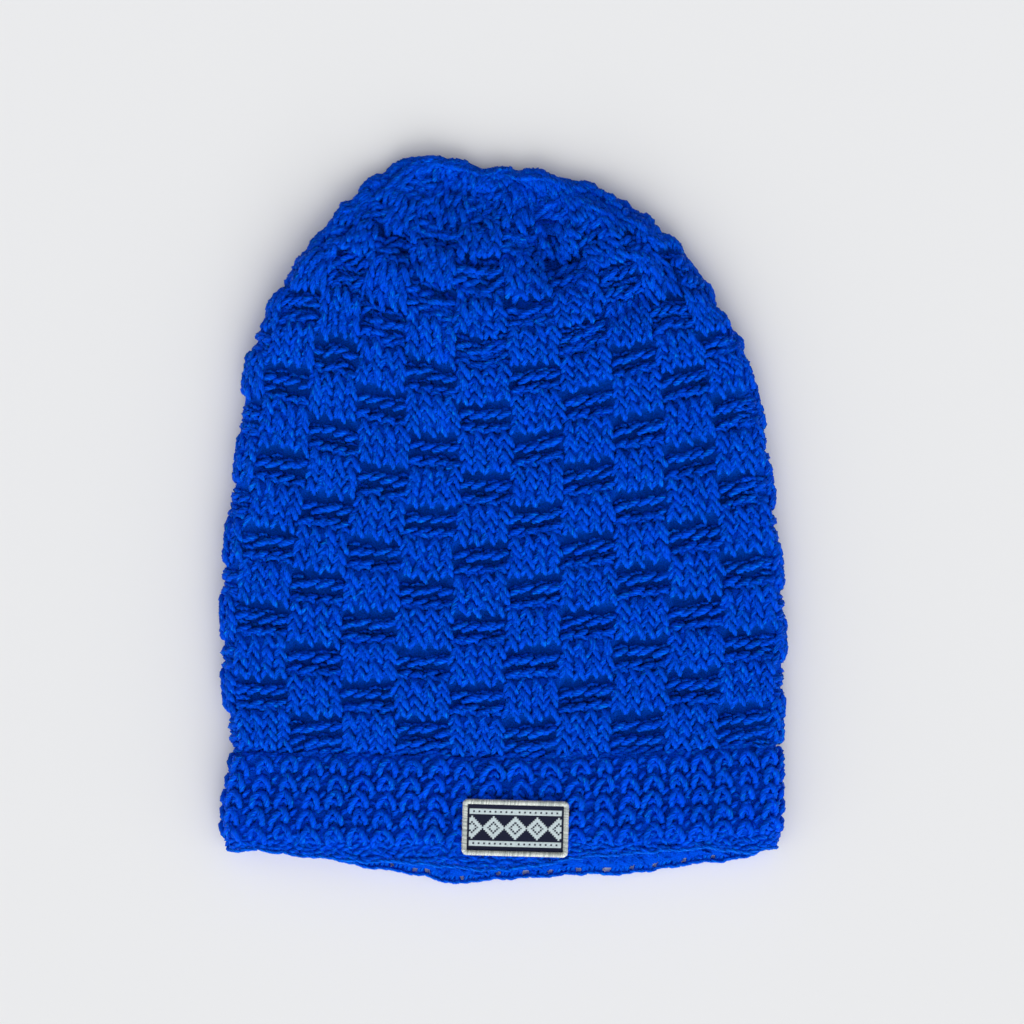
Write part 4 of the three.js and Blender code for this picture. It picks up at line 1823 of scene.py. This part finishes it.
    def tuft_places(self) -> Array:
        """Returns the places round the band that tufts start from, in ribs."""
        count = round(self.form.ribs / self.tuft_across)
        return np.arange(count) * self.form.ribs / count

    def edge_piece(self, name: str) -> YarnPiece:
        """Returns the worn flat zone between the ribs and the rim.

        Args:
            name: the piece's name.

        Returns:
            The piece, with its strands.
        """
        piece = YarnPiece(name)
        far = self.length_at(self.tuft_places()) - self.edge_start
        self.tufts(piece, self.edge_near, far, 0.0, 1.0)
        return piece

    def inner_piece(self, name: str) -> YarnPiece:
        """Returns the stitches on the inner face, as far in as the open rim shows them.

        Args:
            name: the piece's name.

        Returns:
            The piece, with its strands.
        """
        piece = YarnPiece(name)
        turn = np.mod(self.form.rib_turns(self.tuft_places()), 1.0)
        is_shown = (turn > 0.5) & (turn < 1.0)
        far = np.where(is_shown, self.inner_reach, self.hidden_reach)
        self.tufts(piece, self.inner_near, far, -self.form.wall, -1.0)
        return piece

    def backing(self) -> bpy.types.Object:
        """Makes the ring that the ribs stand on.

        Returns:
            The object, closed.
        """
        form = self.form
        ribs = np.arange(form.ribs * self.backing_steps) / self.backing_steps
        turns = form.rib_turns(ribs)
        crest = 0.5 + 0.5 * np.cos(2 * np.pi * ribs)
        floor = self.valley_floor + (self.crest_floor - self.valley_floor) * crest
        rim = form.band_row(turns, self.length_at(ribs) - RIM_ZONE)
        shares = np.linspace(0, 1, self.backing_rows)
        rows = rim[None, :] + (1 - rim[None, :]) * shares[:, None]
        flat = smoothstep(*self.edge_shares, shares)[:, None]
        heights = floor[None, :] * flat + (1 - flat) * self.edge_floor
        turn = np.broadcast_to(turns, rows.shape)
        outer, _ = form.band.place(rows, turn, heights)
        inner, _ = form.band.place(rows[::-1], turn, np.full(rows.shape, -form.wall))
        backing = ring_wall("band_backing", np.concatenate([outer, inner]))
        # Painted shade: the backing is painted darker the deeper it lies, and half shaded on its
        # inner face.
        lit = smoothstep(self.painted_shade_floor, self.edge_floor, heights).ravel()
        set_values(backing.data, TONE_AND_SHADE, np.concatenate([lit, np.full(lit.shape, self.inside_tone)]))
        return backing


@dataclass
class Rim:
    """The chain of stitches along the opening, and the short posts that it stands on."""

    form: HatForm
    stitcher: Stitcher
    posts_per_rib: int = 4
    links_per_rib: int = 2
    middle: float = -2.5
    post_rows: tuple[Pair, ...] = ((-1.3, 0.16), (-3.7, -0.16))
    post_start: float = 0.7
    post_overlap: float = 1.2
    post_bow: float = 0.5
    post_points: int = 6
    post_rise: Pair = (0.35, 0.65)
    post_radii: Pair = (0.85, 0.15)
    post_sway: float = 0.03
    post_dull: float = 0.3
    chain_rows: tuple[Pair, ...] = ((-0.35, 0.0), (-4.2, 0.25))
    chain_span: float = 0.72
    chain_bow: float = 0.6
    chain_reach: float = 0.8
    chain_slant: float = 0.35
    chain_points: int = 7
    chain_radii: Pair = (0.38, 0.3)
    chain_uneven: float = 0.2
    chain_dull: float = 0.5
    sides: int = 6
    hole_margin: float = 0.8
    hole_reach: float = 3.0
    clear_margin: float = 2.6
    clear_depth: float = 4.4
    holes: tuple[Pair, ...] = RIM_HOLES

    def hole_ribs(self) -> list[Pair]:
        """Lists the place of each hole in ribs, and its width in millimetres.

        Returns:
            The place and the width of each hole.
        """
        chart = self.form.band
        half = chart.points.shape[1] // 2
        back = chart.points[0, half:, 0]
        found = []
        for x, width in self.holes:
            turn = 0.5 + np.interp(-x, -back, np.arange(half)) / (2 * half)
            found.append((float(self.form.ribs_at(turn)), width))
        return found

    def spread(self, rib: Array) -> Array:
        """Returns the ribs of the posts once the holes have pushed them aside.

        Args:
            rib: the posts' places, evenly spaced.

        Returns:
            Their places beside the holes.
        """
        for middle, width in self.hole_ribs():
            away = (rib - middle) * RIB_PITCH
            room = width / 2 + self.hole_margin
            reach = room + self.hole_reach
            pushed = room + (np.abs(away) / reach) * (reach - room)
            rib = np.where(np.abs(away) < reach, middle + np.sign(away) * pushed / RIB_PITCH, rib)
        return rib

    def is_open(self, rib: Array, away: Array) -> Array:
        """Says which places lie in a hole, away from the rim in millimetres.

        Args:
            rib: places in ribs.
            away: distances from the rim.

        Returns:
            Whether each place has to stay free.
        """
        is_in = np.zeros(rib.shape, bool)
        for middle, width in self.hole_ribs():
            near = np.abs(rib - middle) * RIB_PITCH < width / 2 + self.clear_margin
            is_in |= near & (away < self.clear_depth)
        return is_in

    def piece(self, name: str) -> YarnPiece:
        """Returns the posts and the chain.

        Args:
            name: the piece's name.

        Returns:
            The piece, with its strands.
        """
        piece = YarnPiece(name)
        form, rng = self.form, self.stitcher
        count = form.ribs * self.posts_per_rib
        rib = self.spread((np.arange(count) + 0.5) / self.posts_per_rib)
        is_back = np.mod(form.rib_turns(rib), 1.0) > 0.5
        share = np.linspace(0, 1, self.post_points)
        rise, thick = self.post_rise, self.post_radii
        for height, lean in self.post_rows:
            sway = rng.jitter(count, self.post_sway)
            turn = form.rib_turns(rib[:, None] + lean * (share - 0.5) + sway)
            bow = np.sin(np.pi * share) * np.sign(height - self.middle) * self.post_bow
            high = self.middle + (height - self.middle) * (rise[0] + rise[1] * share) + bow
            reach = self.post_start + share * (RIM_ZONE + self.post_overlap)
            centres, out = form.band.place(np.zeros_like(turn), turn, high, reach)
            radii = np.broadcast_to(thick[0] + thick[1] * np.sin(np.pi * share), turn.shape)
            tones = rng.rng.uniform(self.post_dull, 1, count)
            keep = is_back | (height < self.middle)
            piece.lay(centres[keep], out[keep], radii[keep], tones[keep], self.sides, rng.rng)
        self.add_chain(piece)
        return piece

    def add_chain(self, piece: YarnPiece) -> None:
        """Adds the slanted turns of the chain, along both faces of the rim.

        Args:
            piece: the piece that the strands go to.
        """
        form, rng = self.form, self.stitcher
        count = form.ribs * self.links_per_rib
        link = np.arange(count) / self.links_per_rib
        share = np.linspace(0, 1, self.chain_points)
        thick = self.chain_radii
        for height, phase in self.chain_rows:
            turn = form.rib_turns(link[:, None] + phase + (share - 0.5) * self.chain_span)
            face = np.sign(height - self.middle)
            high = height + self.chain_bow * np.sin(np.pi * share) * face
            reach = self.chain_reach + self.chain_slant * np.cos(np.pi * share) * face
            centres, out = form.band.place(np.zeros_like(turn), turn, high, reach)
            radii = thick[0] + thick[1] * np.sin(np.pi * share)
            radii = radii * (1 + rng.jitter(count, self.chain_uneven))
            tones = rng.rng.uniform(self.chain_dull, 1, count)
            piece.lay(centres, out, radii, tones, self.sides, rng.rng)


@dataclass
class Patch:
    """The woven patch on the front of the band, with its overlocked border."""

    form: HatForm
    stitcher: Stitcher
    width: float = 44.6
    height: float = 23.7
    corner: float = 2.4
    border_width: float = 2.4
    border_thickness: float = 1.9
    tuck: float = 0.7
    ground_top: float = 0.85
    figure_relief: float = 0.14
    clearance: float = 0.75
    slant: float = math.radians(-1.5)
    wraps: int = 252
    wrap_radius: float = 0.3
    wrap_points: int = 7
    wrap_slant: float = 0.7
    wrap_stray: float = 0.12
    wrap_jitter: float = 0.08
    wrap_bump: float = 0.05
    wrap_ply_length: float = 3.0
    wrap_groove: float = 0.05
    core_gap: float = 0.12
    core_steps: int = 160
    core_places: int = 8
    cell: float = 0.75
    grid_step: float = 0.25

    def laid(self, right: Array, up: Array, height: Array) -> Array:
        """Lays points of the flat patch on the band, at the height of its middle.

        Args:
            right: how far each lies right of the patch's middle, in millimetres.
            up: how far it lies above that middle.
            height: how far it stands over the patch's underside.

        Returns:
            The points in the hat's frame.
        """
        low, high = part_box("patch_border")
        middle = np.array([(low.x + high.x) / 2, (low.y + high.y) / 2]) / MM
        cos, sin = math.cos(self.slant), math.sin(self.slant)
        x = middle[0] + right * cos - up * sin
        y = middle[1] + right * sin + up * cos
        half = self.form.sectors // 2
        seam = self.form.band.points[-1, :half, 0]
        turn = np.interp(x, seam, np.arange(half) / self.form.sectors)
        surface, _ = self.form.band.place(np.full(x.shape, 0.5), turn, np.zeros_like(x))
        crest = self.form.rib_relief / 2 + self.clearance
        return np.stack([x, y, surface[..., 2] + crest + height], axis=-1)

    def ground(self) -> bpy.types.Object:
        """Makes the woven ground, a closed sheet with its figure picked out in relief.

        Returns:
            The object, closed.
        """
        inset = self.border_width - self.tuck
        wide, tall = self.width - 2 * inset, self.height - 2 * inset
        columns, rows = round(wide / self.grid_step) + 1, round(tall / self.grid_step) + 1
        places = np.linspace(-tall / 2, tall / 2, rows), np.linspace(-wide / 2, wide / 2, columns)
        up, right = np.meshgrid(*places, indexing="ij")
        figure = self.figure(right, up)
        top = self.laid(right, up, self.ground_top + self.figure_relief * figure)
        edge = np.concatenate([
            np.arange(columns),
            np.arange(1, rows) * columns + columns - 1,
            (rows - 1) * columns + np.arange(columns - 2, -1, -1),
            np.arange(rows - 2, 0, -1) * columns,
        ])
        edge = edge[: len(edge) // 2 * 2]
        flat = np.stack([right.ravel(), up.ravel()], axis=-1)
        flat = np.concatenate([flat, flat[edge], [[0.0, 0.0]]])
        under = flat[rows * columns :]
        low = self.laid(under[:, 0], under[:, 1], np.zeros(len(under)))
        points = np.concatenate([top.reshape(-1, 3), low])
        below = rows * columns + np.arange(len(edge))
        sides = np.stack([edge, below, np.roll(below, -1), np.roll(edge, -1)], axis=-1)
        middle = np.full(len(edge) // 2, len(points) - 1)
        fan = np.stack([middle, np.roll(below, -2)[::2], below[1::2], below[::2]], axis=-1)
        faces = np.concatenate([grid_faces(rows, columns, columns_meet=False), sides, fan])
        piece = mesh_object("patch_ground", points * MM, faces)
        set_map(piece.data, CLOTH_MAP, flat[faces])
        set_values(piece.data, FIGURE, np.append(figure.ravel(), np.zeros(len(edge) + 1)))
        return piece

    def figure(self, right: Array, up: Array) -> Array:
        """Says where the silver figure is: stepped lozenges between two rows of small teeth.

        Args:
            right: places across the patch, in millimetres from its middle.
            up: places up the patch.

        Returns:
            1 on the figure and 0 on the ground.
        """
        column = np.floor(right / self.cell + 0.5)
        row = np.floor(up / self.cell + 0.5)
        period = 12
        near = np.abs(np.mod(column + period / 2, period) - period / 2)
        distance = near + np.abs(row)
        lozenge = (distance <= 6) & ((distance >= 4) | (distance <= 2))
        teeth = (np.abs(row) >= 8) & (np.abs(row) <= 9 - np.mod(np.abs(column), 3) // 2)
        rule = np.abs(row) == 10
        inside = (np.abs(row) <= 10) & (np.abs(column) <= 25)
        return ((lozenge | teeth | rule) & inside).astype(float)

    def outline(self, inset: float, at: Array) -> tuple[Array, Array]:
        """Walks round the patch.

        Args:
            inset: how far inside the patch's edge the walk runs, in millimetres.
            at: shares of the way round the patch's edge.

        Returns:
            The places right and up from the patch's middle.
        """
        radius = self.corner
        flat_x, flat_y = self.width / 2 - radius, self.height / 2 - radius
        quarter = math.pi / 2 * radius
        sides = [2 * flat_y, quarter, 2 * flat_x, quarter] * 2
        ends = np.cumsum(sides)
        walked = at * ends[-1]
        reach = radius - inset
        right, up = np.zeros_like(at), np.zeros_like(at)
        centres = [(1, -1), (1, 1), (-1, 1), (-1, -1)]
        for k in range(4):
            facing = k * math.pi / 2
            outward = np.array([math.cos(facing), math.sin(facing)])
            onward = np.array([-math.sin(facing), math.cos(facing)])
            start = ends[2 * k - 1] if k else 0.0
            corner = np.array([centres[k][0] * flat_x, centres[k][1] * flat_y])
            step = walked - start
            on = (step >= 0) & (step < sides[2 * k])
            right = np.where(on, corner[0] + outward[0] * reach + onward[0] * step, right)
            up = np.where(on, corner[1] + outward[1] * reach + onward[1] * step, up)
            turned = np.array([centres[(k + 1) % 4][0] * flat_x, centres[(k + 1) % 4][1] * flat_y])
            angle = facing + (step - sides[2 * k]) / radius
            on = (step >= sides[2 * k]) & (step <= sides[2 * k] + quarter)
            right = np.where(on, turned[0] + reach * np.cos(angle), right)
            up = np.where(on, turned[1] + reach * np.sin(angle), up)
        return right, up

    def border_profile(self, share: Array | float, radius: float) -> tuple[Array, Array]:
        """Returns the inset and the height of the border's rounded section, radius inside it.

        Args:
            share: places in the section, from 0 outside to 1 inside.
            radius: how far inside the surface it runs, in millimetres.

        Returns:
            Insets from the patch's edge and heights over its underside.
        """
        wide = self.border_width / 2 - radius
        tall = self.border_thickness - 2 * radius
        angle = np.pi * share
        return self.border_width / 2 - wide * np.cos(angle), radius + tall * np.sin(angle) ** 0.7

    def border(self, name: str) -> YarnPiece:
        """Returns the threads wound side by side over the patch's edge.

        Args:
            name: the piece's name.

        Returns:
            The piece, with its strands.
        """
        piece = YarnPiece(name, ply_length=self.wrap_ply_length, groove=self.wrap_groove)
        rng = self.stitcher.rng
        share = np.linspace(0, 1, self.wrap_points)
        inset, height = self.border_profile(share, self.wrap_radius)
        start = np.arange(self.wraps) / self.wraps
        slant = self.wrap_slant / self.wraps
        stray = rng.uniform(-self.wrap_stray, self.wrap_stray, (self.wraps, 1)) / self.wraps
        at = np.mod(start[:, None] + slant * (share - 0.5) + stray, 1.0)
        right, up = np.zeros_like(at), np.zeros_like(at)
        for k in range(self.wrap_points):
            right[:, k], up[:, k] = self.outline(inset[k], at[:, k])
            if k in (0, self.wrap_points - 1):
                right[:, k] += rng.uniform(-self.wrap_jitter, self.wrap_jitter, self.wraps)
        bump = rng.uniform(-self.wrap_bump, self.wrap_bump, (self.wraps, 1))
        centres = self.laid(right, up, height[None, :] + bump)
        out = np.zeros_like(centres)
        out[..., 2] = 1.0
        radii = np.full(centres.shape[:2], self.wrap_radius)
        piece.lay(centres, out, radii, rng.uniform(0, 1, self.wraps), 6, rng)
        return piece

    def core(self) -> bpy.types.Object:
        """Makes the cord that the border's threads are wound over.

        Returns:
            The object, closed.
        """
        at = np.arange(self.core_steps) / self.core_steps
        loops = []
        for share in np.linspace(0, 1, self.core_places):
            inset, height = self.border_profile(share, self.wrap_radius + self.core_gap)
            right, up = self.outline(inset, at)
            loops.append(self.laid(right, up, np.full(self.core_steps, height)))
        return ring_wall("patch_core", np.array(loops))


@dataclass
class Studio:
    """The floor, the lights and the camera."""

    floor_size: float = 12.0
    distance: float = 2.2
    view_width: float = 0.4294
    aim: Pair = (0.00383, 0.00275)
    aim_height: float = 0.009
    sensor: float = 36.0
    key_strength: float = 1.12
    key_elevation: float = math.radians(33)
    key_azimuth: float = math.radians(8)
    key_softness: float = math.radians(45)
    fill: Triple = (0.97, 0.98, 1.0)
    fill_strength: float = 0.824
    fill_lean: float = 0.85

    def camera(self) -> None:
        """Makes the camera, which looks straight down."""
        data = bpy.data.cameras.new("camera")
        data.sensor_width = self.sensor
        data.lens = self.sensor * self.distance / self.view_width
        data.clip_end = 50.0
        camera = bpy.data.objects.new("camera", data)
        camera.location = (*self.aim, self.aim_height + self.distance)
        bpy.context.scene.collection.objects.link(camera)
        bpy.context.scene.camera = camera

    def lights(self) -> None:
        """Makes a soft key light from the rim's side, and a fill that is stronger there."""
        sun = bpy.data.lights.new("key", "SUN")
        sun.energy = self.key_strength
        sun.angle = self.key_softness
        key = bpy.data.objects.new("key", sun)
        flat = math.cos(self.key_elevation)
        towards = Vector((
            flat * math.sin(self.key_azimuth),
            -flat * math.cos(self.key_azimuth),
            math.sin(self.key_elevation),
        ))
        key.rotation_euler = towards.to_track_quat("Z", "Y").to_euler()
        bpy.context.scene.collection.objects.link(key)
        graph = Graph(bpy.data.worlds.new("world"))
        direction = graph.node("ShaderNodeTexCoord")
        north = graph.part(direction, 1)
        strength = self.fill_strength - north * self.fill_lean
        background = graph.node(
            "ShaderNodeBackground", {}, {"Color": (*self.fill, 1.0), "Strength": strength}
        )
        graph.node("ShaderNodeOutputWorld", {}, {"Surface": background})
        bpy.context.scene.world = graph.owner
        bpy.context.scene.view_settings.view_transform = "Standard"

    def floor(self) -> bpy.types.Object:
        """Makes the floor that the hat lies on.

        Returns:
            The object.
        """
        half = self.floor_size / 2
        corners = np.array([(-1, -1, 0), (1, -1, 0), (1, 1, 0), (-1, 1, 0)]) * half
        floor = mesh_object("floor", corners, np.array([[0, 1, 2, 3]]))
        floor.data.materials.append(FloorFinish("pale_floor").material())
        return floor


def dress(piece: bpy.types.Object, finish: bpy.types.Material) -> None:
    """Gives a piece its finish and its slot, and lets it ride on the hat's body.

    Args:
        piece: the object.
        finish: its material.
    """
    piece.data.materials.append(finish)
    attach(piece, "root")
    log.info("%s: %s", piece.name, finish.name)


def make_crown(form: HatForm, stitcher: Stitcher, yarn: bpy.types.Material) -> None:
    """Makes the crown: its raised and sunk blocks, and the backing under them.

    Args:
        form: the hat's shape.
        stitcher: what lays the strands.
        yarn: the finish of the yarn.
    """
    crown = Crown(form, stitcher)
    top = form.block_rows * crown.rows_per_block + crown.closing_rows
    middle = top // 2
    pieces = [
        crown.raised_piece(Side.FRONT, 0, middle, "crown_raised_lower"),
        crown.raised_piece(Side.FRONT, middle, top, "crown_raised_upper"),
        crown.sunk_piece(Side.FRONT, "crown_sunk_front"),
        crown.raised_piece(Side.BACK, 0, top, "crown_raised_back"),
        crown.sunk_piece(Side.BACK, "crown_sunk_back"),
    ]
    for piece in pieces:
        dress(piece.build(), yarn)
    backing = crown.backing()
    # The backing is painted dark as the shade between the strands.
    dress(backing, BackingFinish("crown_shaded_heart").material())
    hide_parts("crown")


def make_band(form: HatForm, stitcher: Stitcher, yarn: bpy.types.Material) -> None:
    """Makes the band: its ribs, its inner face, and the backing between them.

    Args:
        form: the hat's shape.
        stitcher: what lays the strands.
        yarn: the finish of the yarn.
    """
    band = Band(form, stitcher, Rim(form, stitcher))
    dress(band.ribs_piece("band_ribs").build(), yarn)
    dress(band.edge_piece("band_edge").build(), yarn)
    dress(band.inner_piece("band_inside").build(), yarn)
    backing = band.backing()
    # The band's backing is painted dark as the shade in the valleys between its strands, a little
    # lighter than the crown's.
    shaded_heart = BackingFinish("band_shaded_heart", dark=(0.0, 0.052, 0.42), light=(0.0, 0.1, 0.95))
    dress(backing, shaded_heart.material())
    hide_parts("band")


def make_rim(form: HatForm, stitcher: Stitcher, yarn: bpy.types.Material) -> None:
    """Makes the chain along the rim.

    Args:
        form: the hat's shape.
        stitcher: what lays the strands.
        yarn: the finish of the yarn.
    """
    rim = Rim(form, stitcher).piece("rim_stitches").build()
    dress(rim, yarn)
    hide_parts("rim_chain")


def make_patch(form: HatForm, stitcher: Stitcher) -> None:
    """Makes the patch: its woven ground, and its border of threads over a core.

    Args:
        form: the hat's shape.
        stitcher: what lays the strands.
    """
    patch = Patch(form, stitcher)
    ground = patch.ground()
    dress(ground, ClothFinish("patch_weave").material())
    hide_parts("patch")
    threads = ThreadFinish("border_threads").material()
    border = patch.border("patch_wraps").build()
    dress(border, threads)
    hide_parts("patch_border")
    core = patch.core()
    # Painted shade: the core is painted far darker than the wrapped threads, as the shade between
    # them and the dark edge round the patch.
    shade = ThreadFinish("border_core_shade", dark=(0.1, 0.12, 0.12), light=(0.3, 0.33, 0.32))
    dress(core, shade.material())


def main() -> None:
    """Builds the studio and the hat."""
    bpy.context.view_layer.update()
    studio = Studio()
    studio.camera()
    studio.lights()
    studio.floor()
    form = HatForm()
    stitcher = Stitcher(np.random.default_rng(SEED))
    yarn = YarnFinish("blue_yarn").material()
    # Painted light: the band's yarn is a lighter, less contrasty copy of the same yarn, painting
    # the brighter light on the band.
    band_yarn = YarnFinish(
        "band_yarn",
        shaded_groove_colour=(0.0, 0.066, 0.98),
        lit_crest_colour=(0.0, 0.08, 0.66),
        slit_shade_colour=(0.0, 0.05, 0.62),
        tone_reach=0.35,
    ).material()
    # Painted highlight: the chain's yarn has a brighter crest colour than the rest of the same
    # yarn, painting the bright line of light along the rim.
    chain_yarn = YarnFinish("chain_yarn", lit_crest_colour=(0.0, 0.15, 1.0), tone_reach=0.3).material()
    make_crown(form, stitcher, yarn)
    make_band(form, stitcher, band_yarn)
    make_rim(form, stitcher, chain_yarn)
    make_patch(form, stitcher)


if __name__ == "__main__":
    main()
